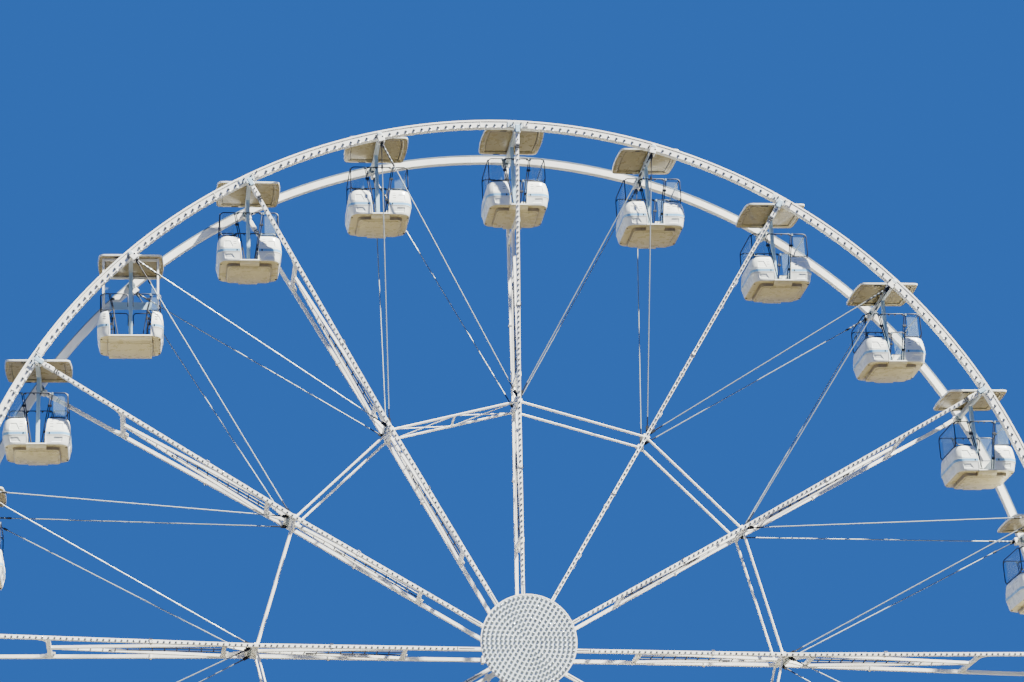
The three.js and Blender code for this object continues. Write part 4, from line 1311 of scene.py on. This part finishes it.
class WHEEL_OT_deck(bpy.types.Operator):
    """Build the middle rails, toe boards, tread edges and handrails of the boarding deck"""

    bl_idname = "wheel.deck"
    bl_label = "Boarding deck"

    handrail = ((-2.99, DECK + 1.05), (-3.12, DECK + 1.03), (-4.2, 1.16), (-4.24, 1.06), (-4.24, 0.16))

    def execute(self, context):
        bm = bmesh.new()
        front = -RAILING_Y
        for side in SIDES:
            x = side * RAILING_X
            for height in (DECK + 0.35, DECK + 0.70):
                rod(bm, (x, front, height), (x, -0.98, height), 0.02)
                rod(bm, (x, front, height), (side * 0.96, front, height), 0.02)
            block(bm, (x - side * 0.03, -2.95, DECK), (x - side * 0.045, -0.98, DECK + 0.12))
            block(bm, (side * 0.99, -2.935, DECK), (side * 3.1, -2.92, DECK + 0.12))
            for k in range(1, 8):
                at = side * (0.96 + k * 0.27)
                rod(bm, (at, front, DECK), (at, front, DECK + 1.06), 0.01, 6)
            for k in range(1, 7):
                at = front + k * 0.28
                rod(bm, (x, at, DECK), (x, at, DECK + 1.06), 0.01, 6)
            bent_rod(bm, [(side * 0.93, y, z) for y, z in self.handrail], 0.022, 8)
            x = side * 0.915
            bar(bm, (x, -3.05, DECK - 0.13), (x, -4.20, 0.13), 0.02, 0.2, (1, 0, 0))
        for i in range(1, 6):
            y, at = -3.0003 - i * STEP_RUN, DECK - i * DECK / 6
            block(bm, (-0.88, y - 0.004, at - 0.03), (0.88, y + 0.05, at + 0.004), 0.003, finish=1)
        front_and_rear(bm)
        finished("deck_fittings", bm, ["galvanised_rod", "ribbed_rubber"], "support")
        return {"FINISHED"}


class WHEEL_OT_stage(bpy.types.Operator):
    """Build the floor, the soft light and the camera"""

    bl_idname = "wheel.stage"
    bl_label = "Stage"

    def floor(self):
        bm = bmesh.new()
        bmesh.ops.create_circle(bm, cap_ends=True, segments=96, radius=90.0)
        bmesh.ops.translate(bm, vec=(0, 0, -0.002), verts=bm.verts[:])
        mesh = bpy.data.meshes.new("studio_floor")
        bm.to_mesh(mesh)
        bm.free()
        mesh.materials.append(FINISHES["matt_studio_floor"])
        linked("studio_floor", mesh)

    def sun(self, name, strength, colour, angle, heading, height):
        """A soft lamp from a heading, clockwise from the front, and a height above the floor."""
        lamp = bpy.data.lights.new(name, "SUN")
        lamp.energy = strength
        lamp.color = colour
        lamp.angle = math.radians(angle)
        heading, height = math.radians(heading), math.radians(height)
        flat = math.cos(height)
        towards = Vector((math.sin(heading) * flat, -math.cos(heading) * flat, math.sin(height)))
        made = linked(name, lamp)
        made.rotation_mode = "QUATERNION"
        made.rotation_quaternion = towards.to_track_quat("Z", "Y")

    def backdrop(self, colour):
        world = bpy.data.worlds.new("studio_backdrop")
        world.use_nodes = True
        tree = world.node_tree
        tree.nodes.clear()
        values = [("Color", colour), ("Strength", 0.92)]
        light = add_node(tree, "ShaderNodeBackground", values=values)
        add_node(tree, "ShaderNodeOutputWorld", links=[("Surface", light.outputs[0])])
        bpy.context.scene.world = world

    def camera(self):
        """A long lens at eye height, looking up at the wheel from its left."""
        lens = bpy.data.cameras.new("camera")
        lens.lens = 88.076
        lens.sensor_width = 36.0
        lens.clip_end = 1000.0
        right = Vector((0.98962, -0.13501, -0.04916))
        up = Vector((-0.00333, -0.3636, 0.93155))
        ahead = Vector((0.14364, 0.92172, 0.36027))
        turn = Matrix((right, up, -ahead)).transposed().to_4x4()
        made = linked("camera", lens)
        made.matrix_world = Matrix.Translation(AXLE + Vector((-9.681, -63.399, -15.943))) @ turn
        bpy.context.scene.camera = made

    def execute(self, context):
        self.floor()
        self.sun("key", 27.0, (1.0, 0.99, 0.92), 1.5, 53, 54)
        self.sun("fill", 0.1, (0.86, 0.95, 1.0), 60, -70, 20)
        self.sun("back", 0.25, (0.9, 0.96, 1.0), 60, 190, 25)
        self.backdrop(tuple(context.scene.wheel_colours.backdrop))
        self.camera()
        return {"FINISHED"}


STEPS = (
    WHEEL_OT_finishes, WHEEL_OT_rims, WHEEL_OT_rim_joints, WHEEL_OT_lamps, WHEEL_OT_hub,
    WHEEL_OT_spoke_fittings, WHEEL_OT_stays, WHEEL_OT_ring_bracing, WHEEL_OT_cabins,
    WHEEL_OT_supports, WHEEL_OT_deck, WHEEL_OT_stage,
)


class WHEEL_PT_panel(bpy.types.Panel):
    """The wheel's sizes, colours and building steps"""

    bl_label = "Ferris Wheel"
    bl_idname = "WHEEL_PT_panel"
    bl_space_type = "VIEW_3D"
    bl_region_type = "UI"
    bl_category = "Ferris Wheel"

    def draw(self, context):
        for group in (context.scene.wheel_sizes, context.scene.wheel_colours):
            box = self.layout.box()
            for name in group.__annotations__:
                box.prop(group, name)
        for step in STEPS:
            self.layout.operator(step.bl_idname)


CLASSES = (WheelSizes, WheelColours, *STEPS, WHEEL_PT_panel)


def register():
    for made in CLASSES:
        bpy.utils.register_class(made)
    bpy.types.Scene.wheel_sizes = PointerProperty(type=WheelSizes)
    bpy.types.Scene.wheel_colours = PointerProperty(type=WheelColours)


def unregister():
    del bpy.types.Scene.wheel_colours
    del bpy.types.Scene.wheel_sizes
    for made in reversed(CLASSES):
        bpy.utils.unregister_class(made)


def main():
    register()
    for step in STEPS:
        area, name = step.bl_idname.split(".")
        getattr(getattr(bpy.ops, area), name)()


if __name__ == "__main__":
    main()
